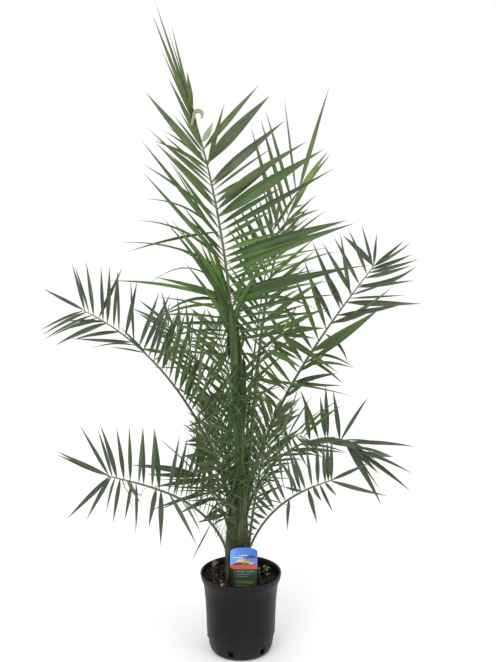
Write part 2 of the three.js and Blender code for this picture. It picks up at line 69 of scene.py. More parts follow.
# ------------------------------------------------------------------ fronds
# foot: where the stalk rises; bearing, rise, roll: polynomials along the length;
# plus and minus: leaflets as (place, angle to the rib, lift out of the plane,
# length); leaflets between two rows follow on evenly, one every pitch. A row
# with two more numbers, width and bow, has none between it and the next.
FRONDS = {
    "frond_01": dict(
        foot=(0, -4, 238), length=1108,
        bearing=(174.100, 3.100, 8.300), rise=(89.500, 1.300, -17.300, -0.700), roll=(85.500, -3.100),
        plus=[
            (0.5, 86, 10, 175, 8, 0.03), (0.515, 90, 8, 205, 9, 0.05), (0.53, 84, 12, 235, 9, 0.03), (0.54, 31.2, 14, 128, 10.1, 0.02),
            (0.545, 92, 8, 190, 7, 0.08), (0.555, 34.5, 16, 149, 9.7, 0), (0.56, 84, 12, 262, 10, 0.03), (0.568, 25.5, 14, 132, 9.2, 0),
            (0.575, 98.4, 6, 203, 9.2, 0.14), (0.582, 78, 12, 273, 11.5, 0.02), (0.582, 83, 10, 264, 4.6, 0.03), (0.59, 80.6, 8, 170, 13.8, 0.02),
            (0.595, 82, 12, 340, 12.6, 0.03), (0.602, 79.7, 10, 215, 9.2, 0.02), (0.618, 76.6, 10, 177, 9.2, 0.02), (0.63, 76.3, 12, 155, 9.2, 0.02),
            (0.64, 80.7, 10, 250, 6.9, 0.04), (0.652, 76, 12, 318, 20.7, 0.02), (0.665, 76.8, 12, 299, 11.5, 0.02), (0.67, 79.9, 14, 182, 11.5, 0.02),
            (0.682, 80.5, 12, 296, 18.4, 0.02), (0.695, 80.1, 12, 152, 11.5, 0.02), (0.708, 76.7, 12, 153, 9.2, 0.02),
            (0.72, 69.5, 12, 144, 9.2, 0.02), (0.738, 70.1, 13, 302, 13.8, 0), (0.75, 68.6, 12, 176, 11.5, 0.02), (0.768, 67.4, 13, 287, 27.6, 0.02),
            (0.782, 62.4, 13, 155, 13.8, 0.02), (0.795, 66.5, 13, 255, 18.4, 0.02), (0.81, 74, 13, 129, 9.2, 0.02), (0.822, 66, 12, 175, 5.8, 0.02),
            (0.832, 62.8, 12, 147, 11.5, 0.02), (0.84, 62.3, 13, 219, 20.7, 0.02), (0.875, 28.9, 12, 146, 10.3, 0), (0.88, 56.7, 12, 209, 25.3, 0.02),
            (0.91, 55.8, 12, 191, 13.8, 0.01), (0.993, 3.7, 20, 191, 5.5, -0.02), (0.993, 10, 14, 86, 10.6, 0)],
        minus=[
            (0.49, 15.1, 10, 159, 14.7, 0.03), (0.5, 84, 8, 140, 5, 0.06), (0.505, 13.8, 16, 151, 12.4, 0.02), (0.518, 30.1, 20, 212, 9.9, 0.06),
            (0.52, 92, 4, 178, 5.8, 0.08), (0.522, 17.5, 12, 157, 11.5, 0), (0.54, 24, 20, 234, 9.9, 0.06), (0.542, 13.6, 14, 150, 11.5, 0.03),
            (0.545, 80, 10, 205, 5.8, 0.05), (0.55, 17.4, 20, 172, 11.5, 0), (0.558, 30.4, 20, 291, 9.1, 0.05), (0.56, 70, 14, 190, 5, 0.04),
            (0.562, 19.1, 20, 190, 10.6, 0.02), (0.573, 8.6, 10, 141, 10.6, 0), (0.575, 94.3, 0, 187, 6.6, 0.1), (0.578, 16.3, 18, 178, 9.7, 0),
            (0.578, 30.1, 20, 236, 9.1, 0.05), (0.582, 95.8, 0, 168, 7.4, 0.17), (0.585, 72.9, 6, 297, 8.3, 0.05), (0.59, 13, 16, 169, 9.2, 0.02),
            (0.592, 66.3, 8, 189, 10.7, 0.02), (0.598, 31.9, 20, 234, 8.3, 0.04), (0.598, 79.6, 10, 212, 3, 0.3), (0.62, 48, 12, 169, 4.5, 0.08),
            (0.65, 66.2, 12, 266, 4.8, 0.09), (0.658, 53.9, 14, 246, 6.1, 0.14), (0.67, 35.4, 20, 294, 10.1, 0), (0.682, 32.5, 20, 161, 8.1, 0),
            (0.695, 42, 18, 133, 6.1, 0.02), (0.708, 24.9, 20, 248, 4, 0), (0.718, 31.3, 20, 302, 10.6, 0), (0.722, 54.6, 14, 213, 4.5, 0.14),
            (0.735, 91.4, 6, 224, 6.5, 0.03), (0.74, 27.9, 20, 194, 8.1, 0), (0.763, 44.9, 18, 223, 7.7, 0.03), (0.785, 32.5, 20, 183, 9.1, 0),
            (0.795, 35.3, 20, 205, 11.1, 0), (0.812, 37.2, 20, 150, 8.1, 0), (0.832, 37.7, 18, 206, 6.5, 0), (0.845, 42.4, 18, 165, 6.9, 0.02),
            (0.855, 38.2, 20, 147, 6.1, 0), (0.868, 50.8, 16, 145, 8.1, 0.05), (0.878, 29.1, 18, 217, 16.2, 0), (0.883, 42.8, 18, 126, 6.1, 0.04),
            (0.895, 40.1, 20, 122, 4, 0), (0.9, 26.9, 20, 113, 6.1, 0), (0.91, 19.9, 20, 107, 4.8, 0), (0.915, 13.3, 20, 174, 10.1, 0),
            (0.93, 14.1, 20, 120, 8.2, 0), (0.945, 0, 18, 136, 7.9, 0), (0.948, 6.7, 20, 277, 8.7, 0), (0.952, 10, 20, 197, 5.5, 0),
            (0.968, 2.7, 21, 278, 6.4, 0), (0.975, 0, 20, 208, 3.7, 0.01)]),
    "frond_02": dict(
        foot=(-20, 18, 240), length=928,
        bearing=(29.900, 1.800, 4.100), rise=(75.600, 33.200, -16.000, -37.100), roll=(84.600, -0.700),
        plus=[
            (0.593, 53.1, 17, 142, 9.2, 0.02), (0.628, 51.5, 17, 147, 9.2, 0.02), (0.66, 46.9, 17, 160, 9.2, 0.02), (0.693, 44.7, 18, 159, 10.1, 0.02),
            (0.72, 45.9, 18, 190, 10.6, 0.02), (0.75, 45.2, 18, 197, 10.6, 0.02), (0.782, 46.4, 18, 180, 10.6, 0.02),
            (0.81, 45.7, 18, 165, 10.1, 0.02), (0.833, 41.3, 18, 134, 9.2, 0.01), (0.863, 36.5, 18, 270, 11.5, 0.01),
            (0.895, 39.1, 18, 135, 8.3, 0.01), (0.92, 41.4, 19, 242, 10.6, 0.01), (0.95, 43.8, 20, 236, 8.3, 0.01), (0.975, 36.2, 20, 238, 5.1, 0),
            (0.988, 11.7, 16, 266, 11.5, 0.01)],
        minus=[
            (0.603, 73.6, 12, 145, 7.4, 0.03), (0.635, 77, 12, 193, 7.8, 0.04), (0.665, 67.8, 14, 153, 7.8, 0.02), (0.698, 77.7, 12, 227, 7.4, 0.04),
            (0.725, 64.3, 14, 145, 7.8, 0.02), (0.755, 71.5, 14, 294, 6, 0.03), (0.777, 68, 14, 145, 5.5, 0.02), (0.8, 55.7, 14, 159, 7.8, 0.02),
            (0.828, 53.2, 16, 222, 6, 0.02), (0.85, 50.8, 16, 131, 5.1, 0.02), (0.868, 53.3, 14, 63, 7.4, 0.02), (0.888, 57.4, 14, 153, 7.4, 0.04),
            (0.905, 55.3, 14, 89, 6, 0.03), (0.917, 21.8, 20, 116, 8, 0.02), (0.94, 60, 14, 56, 4.6, 0.02), (0.96, 21.7, 14, 167, 9.2, 0.03),
            (0.98, 14.9, 14, 142, 11.5, 0.03)]),
    "frond_03": dict(
        foot=(7, -3, 220), length=775,
        bearing=(181.400, -5.200, -1.800), rise=(82.800, -29.000, -20.900, -8.000), roll=(30.300, 4.800),
        plus=[
            (0.497, 96, 8, 112, 9.2, 0.04), (0.515, 86.1, 0, 156, 11.5, 0.03), (0.545, 79.6, 2, 126, 10.6, 0.04), (0.562, 63.5, 18, 110, 9.2, 0),
            (0.578, 63.2, 6, 117, 10.6, 0.03), (0.593, 60.2, 18, 127, 9.7, 0), (0.615, 54.7, 18, 119, 9.2, 0), (0.615, 72.3, 0, 132, 10.1, 0.03),
            (0.638, 60.8, 4, 106, 9.7, 0.03), (0.64, 58.4, 16, 188, 10.6, 0.01), (0.665, 58.1, 16, 181, 9.7, 0), (0.7, 61.7, 17, 177, 11, 0),
            (0.7, 73, 17, 150, 9, 0.01), (0.72, 66, 17, 145, 9.7, 0.01), (0.725, 72, 18, 165, 10, 0.01), (0.738, 63.4, 18, 162, 8.3, 0),
            (0.758, 67.7, 17, 141, 10.1, 0), (0.77, 3.2, 30, 89, 6.4, 0), (0.782, 75, 17, 171, 10.6, 0), (0.8, 71.2, 16, 156, 10.1, 0),
            (0.82, 50, 16, 166, 6.4, 0), (0.853, 66.5, 15, 150, 10.1, 0.01), (0.878, 55.3, 17, 153, 6.4, 0), (0.897, 61.2, 17, 148, 7.8, 0),
            (0.92, 60.9, 17, 148, 10.1, 0), (0.935, 57.9, 16, 144, 8.3, 0), (0.95, 83.5, 16, 149, 8.7, -0.02), (0.968, 54.4, 16, 142, 9.2, 0.02),
            (0.983, 47.1, 15, 130, 5.5, 0.03), (0.998, 49.8, 15, 127, 7.8, 0.03), (1, 3.3, 14, 113, 7.8, 0)],
        minus=[
            (0.4, 127.7, 8, 152, 7.8, 0.03), (0.415, 117.3, 12, 186, 8.3, 0.03), (0.43, 118.5, 6, 177, 8.7, 0.03), (0.445, 111, 10, 201, 8.3, 0.02),
            (0.46, 110.9, 6, 189, 8.3, 0.03), (0.775, 47.9, 14, 110, 3.9, 0.02), (0.807, 56.8, 12, 142, 4.1, 0.06), (0.825, 48.8, 11, 169, 7.8, 0),
            (0.875, 59.2, 12, 144, 8.7, 0.03), (0.922, 68.1, 10, 170, 11.5, 0.02), (0.93, 40, 5, 96, 6.9, 0.01), (0.94, 58.8, 8, 120, 6, 0.02),
            (0.953, 65, 9, 150, 6, 0.03), (0.97, 68.9, 10, 170, 7.4, 0.03), (0.99, 69.5, 12, 158, 9.2, 0.02), (1, 67.1, 13, 151, 6.4, 0.02)]),
    "frond_04": dict(
        foot=(-3, 8, 220), length=834,
        bearing=(17.100, 9.200, 4.700), rise=(89.500, -58.200, -9.800, 23.800), roll=(-34.700, -3.500),
        plus=[
            (0.527, 32.8, 16, 89, 8.7, 0.02), (0.557, 45.1, 16, 100, 8.7, 0.02), (0.562, 49.9, 6, 123, 8.3, 0.05), (0.578, 55.8, 14, 125, 8.3, 0.02),
            (0.58, 68.8, 10, 138, 7.4, -0.03), (0.615, 33.6, 18, 85, 9.2, 0), (0.628, 65.5, 8, 140, 7.8, 0.1), (0.64, 29.1, 18, 223, 11.5, -0.03),
            (0.657, 94.8, -4, 114, 7.4, 0.06), (0.672, 77.2, -2, 118, 6.9, 0.1), (0.682, 31.6, 18, 199, 21.8, -0.03),
            (0.745, 108.6, -14, 96, 7.8, 0.2), (0.78, 28.5, 14, 178, 8.7, -0.06), (0.785, 44, 12, 120, 11.5, -0.02), (0.812, 50.7, 9, 176, 12, -0.02),
            (0.86, 60.8, 6, 189, 14.3, 0), (0.875, 56, 6, 143, 5.5, 0), (0.888, 41.3, 10, 89, 6.4, 0), (0.917, 52.8, 9, 143, 9.2, -0.01),
            (0.925, 40.7, 12, 149, 11.5, -0.1), (0.953, 44.9, 12, 119, 10.1, -0.02), (0.973, 44.9, 13, 128, 9.7, -0.01),
            (0.985, 38.6, 13, 108, 9.7, -0.02), (0.998, 23.8, 14, 111, 7.4, -0.02), (1, 15.3, 14, 99, 8.3, -0.01)],
        minus=[
            (0.485, 67.9, 4, 59, 9.7, 0.03), (0.51, 82.2, 16, 132, 9.2, 0.02), (0.542, 74.9, 16, 141, 9.2, 0.02), (0.57, 69.5, 16, 155, 10.6, 0.02),
            (0.608, 69.1, 16, 163, 10.6, 0.01), (0.64, 66.9, 16, 154, 11.5, 0.01), (0.688, 66.3, 16, 159, 11.5, 0.01),
            (0.72, 54.3, 17, 187, 10.6, 0.01), (0.76, 51.9, 17, 188, 11.5, 0.01), (0.79, 61.6, 16, 140, 10.1, 0.01),
            (0.833, 57.9, 16, 189, 11.5, 0.01), (0.845, 63.6, 16, 120, 11.5, 0.01), (0.883, 45.1, 17, 164, 9.2, 0), (0.89, 65.5, 16, 151, 10.6, 0.01),
            (0.927, 64.2, 16, 139, 9.2, 0.01), (0.965, 58.2, 16, 125, 8.3, 0.02), (0.995, 50.7, 16, 112, 6.9, 0.01),
            (0.998, 81.2, 15, 110, 13.8, 0.02), (1, 31, 15, 84, 6.9, 0)]),
    "frond_05": dict(
        foot=(-13, -4, 183), length=646,
        bearing=(249.300, -19.400, -5.800), rise=(68.200, -65.900, 4.000, 17.900), roll=(56.500, 8.600),
        plus=[
            (0.36, 84, 20, 85), (0.48, 86, 20, 112), (0.56, 86, 20, 122), (0.65, 86, 21, 128), (0.662, 92.7, 20, 139, 9.7, 0),
            (0.693, 93.2, 16, 138, 8.7, 0), (0.748, 60.3, 24, 142, 11.5, 0), (0.787, 66.2, 28, 135, 8.7, 0), (0.83, 60.9, 31, 136, 8.3, 0),
            (0.855, 67.6, 31, 129, 6.9, 0.01), (0.897, 62.6, 30, 127, 8.7, 0), (0.925, 54.6, 30, 128, 8.7, 0.02), (0.958, 46.6, 29, 137, 10.1, 0.03),
            (0.978, 47.4, 29, 123, 6.4, 0.03), (0.993, 7.2, 22, 150, 7.4, -0.01), (0.993, 9.2, 27, 158, 7.8, 0), (0.993, 36.8, 26, 146, 7.4, 0)],
        minus=[
            (0.56, 86, 26, 60), (0.62, 84, 27, 120), (0.69, 81, 28, 111, 5.1, 0.02), (0.693, 78.7, 30, 175, 8.3, 0.03), (0.738, 70.5, 11, 154, 11, 0),
            (0.765, 57.9, 15, 134, 10.6, 0.02), (0.868, 72.5, 14, 132, 6.4, -0.02), (0.888, 65, 12, 112, 6.9, 0.01), (0.912, 110.3, 23, 61, 5.5, 0),
            (0.943, 61.8, 22, 139, 8.3, 0.01), (0.965, 56.6, 27, 130, 5.1, 0.03), (0.983, 50.8, 16, 150, 8.7, 0.01), (0.99, 41.8, 8, 172, 9.2, 0)]),
    "frond_06": dict(
        foot=(-3, -3, 181), length=531,
        bearing=(-61.100, 8.300, 2.000), rise=(71.200, -54.400, -8.700, 19.100), roll=(-67.400, -2.000),
        plus=[
            (0.682, 65.8, 21, 113, 7.4, 0.03), (0.833, 55.2, 17, 128, 9.2, 0.02), (0.873, 40, 35, 113, 9.2, 0), (0.917, 44.3, 26, 145, 6.4, 0),
            (0.953, 36.8, 36, 115, 6.4, 0), (0.99, 20.7, 10, 214, 8.7, -0.01)],
        minus=[
            (0.2, 100, 26, 40), (0.31, 124.8, 28, 50, 6.4, 0), (0.352, 121.9, 28, 57, 6.9, 0), (0.395, 119.9, 28, 65, 7.4, 0),
            (0.455, 130.8, 30, 65, 7.8, -0.02), (0.475, 112.4, 26, 72, 7.4, 0), (0.525, 118.7, 26, 96, 8.7, -0.02), (0.545, 99.4, 24, 93, 9.7, 0),
            (0.61, 99.8, 24, 96, 8.3, 0.01), (0.647, 92.9, 24, 109, 8.3, 0.01), (0.715, 69.7, 23, 102, 5.1, 0), (0.75, 106, 23, 97, 8.7, 0.12),
            (0.777, 78.8, 26, 105, 8.7, 0.01), (0.787, 150, 40, 59, 7.4, 0), (0.812, 81.3, 29, 104, 8.7, 0.01), (0.863, 70.6, 24, 107, 7.8, 0.01),
            (0.905, 60.8, 25, 104, 9.2, 0), (0.953, 58.3, 31, 103, 8.3, 0), (0.975, 55.3, 34, 109, 9.2, 0), (0.993, 51, 36, 117, 8.7, 0),
            (0.998, 4.6, 26, 138, 7.8, 0)]),
    "frond_07": dict(
        foot=(-9, 2, 205), length=567,
        bearing=(38.700, -13.200, -5.700), rise=(89.500, -62.300, -73.300, -5.000), roll=(-17.700, -0.100),
        plus=[
            (0.42, 76, 22, 80), (0.56, 70, 24, 115), (0.603, 80.5, 22, 137, 5.1, 0.03), (0.61, 55.8, 8, 148, 9.2, 0.03),
            (0.655, 76.8, 22, 183, 6, 0.05), (0.672, 90.4, 14, 100, 6.9, 0), (0.688, 35.1, 12, 82, 10.6, 0), (0.72, 14.2, 20, 66, 7.8, 0),
            (0.753, 27.3, 12, 83, 10.1, 0.02), (0.772, 46.4, 8, 72, 10.6, 0), (0.792, 38.9, 4, 87, 12.9, 0.03), (0.823, 20.1, 0, 110, 12.4, 0.03),
            (0.88, 18.2, 4, 102, 12.4, 0), (0.89, 26.1, -14, 72, 13.8, 0.02), (0.897, 70.5, -10, 204, 14.3, 0.04), (0.907, 25.1, -14, 86, 19.5, 0),
            (0.922, 62.6, -6, 152, 5.5, 0), (0.925, 27.3, -10, 104, 12.6, 0.02), (0.95, 104.3, 24, 285, 8.7, 0.02), (0.965, 83.5, 26, 234, 8.7, 0.03),
            (0.98, 67.1, 20, 197, 11, 0.02)],
        minus=[
            (0.36, 76, 22, 80), (0.5, 78, 22, 110), (0.62, 76, 24, 125), (0.713, 73, 25, 108, 11.5, 0.01), (0.755, 89, 25, 153, 11.5, 0.01),
            (0.79, 79, 23, 136, 11.5, 0.01), (0.803, 80, 30, 166, 11.5, 0.01), (0.865, 13.2, 30, 154, 4.6, 0.03), (0.867, 87, 19, 178, 11.5, 0.01),
            (0.87, 61, 36, 178, 9, 0.01), (0.901, 20, 41, 245, 10.5, 0.02), (0.984, 36, 28, 156, 11.5, 0.01)]),
    "frond_08": dict(
        foot=(-9, -7, 249), length=757,
        bearing=(243.700, -1.700, -6.400), rise=(89.400, 27.000, -100.600, -33.100), roll=(68.400, 13.100),
        plus=[
            (0.5, 75, 18, 70), (0.65, 70, 18, 84), (0.796, 65, 19, 79), (0.868, 67, 24, 91), (0.93, 68, 26, 98), (0.998, 75, 29, 114),
            (1, 34, 23, 114)],
        minus=[
            (0.5, 70, 15, 90), (0.64, 66, 15, 130), (0.753, 61, 15, 154), (0.812, 66, 11, 159), (0.868, 63, 12, 139), (0.921, 54, 12, 100),
            (0.98, 52, 15, 63), (0.997, -3, 12, 47)]),
    "frond_09": dict(
        foot=(3, -9, 248), length=594,
        bearing=(-24.000, 3.200, 0.800), rise=(85.500, 37.100, -49.400, -31.400), roll=(-32.800, -2.800),
        plus=[
            (0.45, 80, 10, 90), (0.6, 80, 5, 120), (0.75, 78, 0, 140), (0.867, 78, -6, 163), (0.909, 70, -7, 163), (0.961, 62, -5, 156),
            (0.997, 47, -2, 144), (0.997, 68, -20, 221), (1, 38, -4, 159)],
        minus=[
            (0.45, 80, 10, 90), (0.6, 85, 8, 110), (0.75, 95, 5, 115), (0.867, 114, 0, 119), (0.921, 112, -5, 111), (0.967, 116, -7, 109),
            (1, 75, -20, 128), (1, 105, 2, 112)]),
    "frond_10": dict(
        foot=(1, -8, 202), length=307,
        bearing=(210.400, -4.000, -2.100), rise=(79.200, -13.400, -19.900, 3.500), roll=(40.400, 11.600),
        plus=[
            (0.4, 70, 10, 70), (0.52, 60, 5, 105), (0.668, 45, 1, 131), (0.813, 43, 9, 139), (0.914, 37, 9, 136), (0.989, 41, 15, 148),
            (1, -6, 11, 141)],
        minus=[
            (0.4, 70, 8, 80), (0.555, 64, 3, 144), (0.628, 64, 1, 150), (0.741, 64, -5, 172), (0.85, 60, -4, 172), (0.927, 47, -6, 173),
            (0.977, 43, -6, 170), (0.995, 36, -10, 192)]),
    "frond_11": dict(
        foot=(1, -12, 206), length=474,
        bearing=(215.900, 5.900, 5.100), rise=(89.500, -39.600, -6.000, 21.000), roll=(78.200, 0.800),
        plus=[
            (0.42, 80, 18, 60), (0.6, 80, 18, 85), (0.734, 81, 19, 89), (0.837, 70, 22, 95), (0.927, 63, 26, 84), (0.998, 49, 24, 92),
            (1, -14, 26, 84)],
        minus=[
            (0.42, 75, 18, 100), (0.532, 68, 17, 162), (0.659, 52, 14, 163), (0.729, 52, 13, 161), (0.768, 54, 19, 145), (0.837, 54, 25, 126),
            (0.921, 60, 27, 106)]),
    "frond_12": dict(
        foot=(0, -5, 213), length=488,
        bearing=(-44.900, -0.200, 0.700), rise=(89.500, 4.500, -81.000, -13.400), roll=(-55.500, -5.800),
        plus=[
            (0.45, 82, 12, 80), (0.641, 82, 8, 126), (0.743, 80, 9, 135), (0.838, 66, 5, 135), (0.923, 49, 8, 114), (0.977, 22, 12, 74),
            (1, 16, 8, 95)],
        minus=[
            (0.45, 75, 15, 70), (0.6, 70, 16, 85), (0.724, 65, 18, 92), (0.795, 52, 10, 95), (0.869, 56, 15, 129), (0.936, 40, 14, 107),
            (0.975, 43, 12, 141), (1, 44, 14, 143)]),
    "frond_13": dict(
        foot=(4, 16, 250), length=830,
        bearing=(66.000, 6.000, 4.000), rise=(88.000, -14.000, -26.000, -4.000), roll=(-14.000, -4.000),
        plus=[
            (0.46, 54, 24, 119), (0.557, 51.8, 24, 158), (0.676, 49.7, 24, 205), (0.811, 41.8, 24, 183), (0.919, 33.1, 24, 164), (1, 26.6, 24, 151),
            (1, 2.9, 10, 162)],
        minus=[
            (0.46, 49.7, 20, 119), (0.557, 47.5, 20, 158), (0.676, 45.4, 20, 205), (0.811, 37.4, 20, 183), (0.919, 28.8, 20, 164), (1, 22.3, 20, 151)]),
    "frond_14": dict(
        foot=(-12, 8, 235), length=650,
        bearing=(122.000, 6.000, 2.000), rise=(88.000, -24.000, -40.000, -4.000), roll=(14.000, 6.000),
        plus=[
            (0.44, 54, 24, 86), (0.541, 51.8, 24, 113), (0.664, 49.7, 24, 146), (0.804, 41.8, 24, 137), (0.916, 33.1, 24, 130), (1, 26.6, 24, 124),
            (1, 2.9, 10, 140)],
        minus=[
            (0.44, 49.7, 20, 86), (0.541, 47.5, 20, 113), (0.664, 45.4, 20, 146), (0.804, 37.4, 20, 137), (0.916, 28.8, 20, 130), (1, 22.3, 20, 124)]),
    "frond_15": dict(
        foot=(4, 16, 225), length=660,
        bearing=(98.000, 4.000, 2.000), rise=(84.000, -34.000, -36.000, 0.000), roll=(4.000, 4.000),
        plus=[
            (0.4, 54, 24, 86), (0.508, 51.8, 24, 116), (0.64, 49.7, 24, 151), (0.79, 41.8, 24, 143), (0.91, 33.1, 24, 135), (1, 26.6, 24, 130),
            (1, 2.9, 10, 140)],
        minus=[
            (0.4, 49.7, 20, 86), (0.508, 47.5, 20, 116), (0.64, 45.4, 20, 151), (0.79, 37.4, 20, 143), (0.91, 28.8, 20, 135), (1, 22.3, 20, 130)]),
    "frond_16": dict(
        foot=(-6, 16, 190), length=520,
        bearing=(97.000, 4.000, 2.000), rise=(74.000, -46.000, -30.000, 8.000), roll=(2.000, 2.000),
        plus=[
            (0.36, 54, 24, 70), (0.475, 51.8, 24, 99), (0.616, 49.7, 24, 135), (0.776, 41.8, 24, 129), (0.904, 33.1, 24, 123), (1, 26.6, 24, 119),
            (1, 2.9, 10, 140)],
        minus=[
            (0.36, 49.7, 20, 70), (0.475, 47.5, 20, 99), (0.616, 45.4, 20, 135), (0.776, 37.4, 20, 129), (0.904, 28.8, 20, 123), (1, 22.3, 20, 119)]),
    "frond_17": dict(
        foot=(12, 12, 185), length=500,
        bearing=(74.000, 4.000, 4.000), rise=(72.000, -46.000, -28.000, 8.000), roll=(-8.000, -6.000),
        plus=[
            (0.36, 54, 24, 70), (0.475, 51.8, 24, 99), (0.616, 49.7, 24, 135), (0.776, 41.8, 24, 129), (0.904, 33.1, 24, 123), (1, 26.6, 24, 119),
            (1, 2.9, 10, 140)],
        minus=[
            (0.36, 49.7, 20, 70), (0.475, 47.5, 20, 99), (0.616, 45.4, 20, 135), (0.776, 37.4, 20, 129), (0.904, 28.8, 20, 123), (1, 22.3, 20, 119)]),
    "frond_18": dict(
        foot=(-14, 6, 190), length=380,
        bearing=(112.000, -2.000, -2.000), rise=(84.000, -30.000, -40.000, 0.000), roll=(12.000, 4.000),
        plus=[
            (0.36, 54, 24, 65), (0.475, 51.8, 24, 92), (0.616, 49.7, 24, 124), (0.776, 41.8, 24, 118), (0.904, 33.1, 24, 112), (1, 26.6, 24, 108),
            (1, 2.9, 10, 140)],
        minus=[
            (0.36, 49.7, 20, 65), (0.475, 47.5, 20, 92), (0.616, 45.4, 20, 124), (0.776, 37.4, 20, 118), (0.904, 28.8, 20, 112), (1, 22.3, 20, 108)]),
}

# width: leaflet width as a share of its length; turn: how far each row is turned
# about its own length (plus, minus); paint: leaf colours dealt out to the frond;
# far: the colours near its tip, if others; loose: how unevenly its leaflets stand;
# pitch: how far apart they are
LOOK = {
    "frond_01": dict(width=(0.082, 0.056), turn=(6, 42), paint=("mid", "deep", "mid", "bright"), far=("ash", "olive", "olive"), rib=3.9, loose=1.0, pitch=22.0),
    "frond_02": dict(far=("ash", "olive", "olive"), width=(0.058, 0.054), turn=(30, 34), paint=("mid", "bright", "olive"), rib=4.2, loose=1.0, pitch=22.0),
    "frond_03": dict(far=("ash", "grey", "grey"), width=(0.072, 0.072), turn=(22, 26), paint=("mid", "grey", "deep"), rib=3.9, loose=1.0, pitch=22.0),
    "frond_04": dict(far=("ash", "grey", "ash"), width=(0.075, 0.075), turn=(24, 24), paint=("ash", "olive", "mid"), rib=3.9, loose=1.0, pitch=22.0),
    "frond_05": dict(far=("ash", "grey", "grey"), width=(0.074, 0.078), turn=(22, 24), paint=("deep", "grey", "grey"), rib=4.0, loose=1.0, pitch=22.0),
    "frond_06": dict(far=("ash", "grey", "grey"), width=(0.090, 0.090), turn=(24, 22), paint=("grey", "ash", "ash"), rib=3.7, loose=1.0, pitch=22.0),
    "frond_07": dict(far=("ash", "grey", "grey"), width=(0.078, 0.078), turn=(24, 24), paint=("grey", "ash", "ash"), rib=3.7, loose=1.0, pitch=22.0),
    "frond_08": dict(width=(0.088, 0.088), turn=(20, 20), paint=("mid", "olive", "mid"), rib=3.2, loose=3.0, pitch=20.5),
    # frond_13's bright paint is partly painted light: a lighter green stands in for light shining through its leaflets
    "frond_13": dict(width=(0.066, 0.066), turn=(22, 20), paint=("mid", "bright", "olive"), rib=2.6, loose=3.6, pitch=36.0),
    "frond_14": dict(width=(0.070, 0.070), turn=(22, 20), paint=("mid", "olive", "mid"), rib=2.8, loose=3.2, pitch=26.0),
    "frond_15": dict(width=(0.080, 0.080), turn=(22, 20), paint=("mid", "olive", "mid"), rib=3.0, loose=2.6, pitch=24.0),
    "frond_09": dict(width=(0.086, 0.086), turn=(22, 20), paint=("mid", "bright", "olive"), rib=3.2, loose=3.0, pitch=19.5),
}
PLAIN = dict(far=None, width=(0.086, 0.086), turn=(24, 24), paint=("ash", "olive", "mid"), rib=3.0, loose=3.2, pitch=17.0)

# single leaflets of another colour: frond, row, place
OWN_PAINT = {("frond_02", "minus", 0.96): "lime", ("frond_02", "minus", 0.98): "lime", ("frond_01", "plus", 0.738): "deep",
             ("frond_03", "minus", 0.4): "ash", ("frond_03", "minus", 0.43): "ash", ("frond_03", "minus", 0.46): "ash"}

STEM = [(184, 41), (200, 37), (235, 34.5), (300, 32), (350, 29), (375, 27)]
COLUMN = [(375, 24.5), (415, 20), (450, 17.5), (500, 15), (560, 13.5), (640, 12.5), (700, 11.5)]
CORE = STEM[:-1] + COLUMN
STEM_BELLY = [(184, -4), (240, -8), (300, -9), (345, -8), (380, -4), (410, -1), (440, 0)]   # height, shift in x


def poly(c, t):
    return sum(k * t ** i for i, k in enumerate(c))


def look_up(rows, x, column=1):
    return float(np.interp(x, [r[0] for r in rows], [r[column] for r in rows]))


def unit(v):
    v = np.asarray(v, float)
    return v / max(np.linalg.norm(v), 1e-9)


def axes(f, t):
    """Along the rib, out of its upper side, and to its plus side."""
    a, e, r = (math.radians(poly(f[k], t)) for k in ("bearing", "rise", "roll"))
    T = np.array([math.cos(a) * math.cos(e), math.sin(a) * math.cos(e), math.sin(e)])
    N0 = np.array([-math.cos(a) * math.sin(e), -math.sin(a) * math.sin(e), math.cos(e)])
    B0 = np.array([math.sin(a), -math.cos(a), 0.0])
    return T, math.cos(r) * N0 - math.sin(r) * B0, math.cos(r) * B0 + math.sin(r) * N0


STEPS = 120


def rib_line(f):
    P = [np.array(f["foot"], float)]
    last = axes(f, 0)[0]
    for i in range(1, STEPS + 1):
        T = axes(f, i / STEPS)[0]
        P.append(P[-1] + (last + T) * 0.5 * f["length"] / STEPS)
        last = T
    return np.array(P)


LINES = {k: rib_line(f) for k, f in FRONDS.items()}


def along(name, t):
    P = LINES[name]
    x = min(max(t, 0), 1) * STEPS
    i = min(int(x), STEPS - 1)
    return P[i] + (P[i + 1] - P[i]) * (x - i)


def core_centre(z):
    P = LINES["frond_01"]
    side = look_up(STEM_BELLY, z)
    if z <= P[0][2]:
        return np.array([P[0][0] + side, P[0][1], z])
    return np.array([np.interp(z, P[:, 2], P[:, 0]) + side, np.interp(z, P[:, 2], P[:, 1]), z])


def leave(name):
    """The place along a frond where its stalk comes clear of the column."""
    f = FRONDS[name]
    for i in range(190):
        t = i * 0.005
        p = along(name, t)
        if p[2] > 700:
            return t
        c = core_centre(p[2])
        if math.hypot(p[0] - c[0], p[1] - c[1]) > look_up(CORE, p[2]) + 4:
            return t
    return 0.95


LEAVE = {k: leave(k) for k in FRONDS}


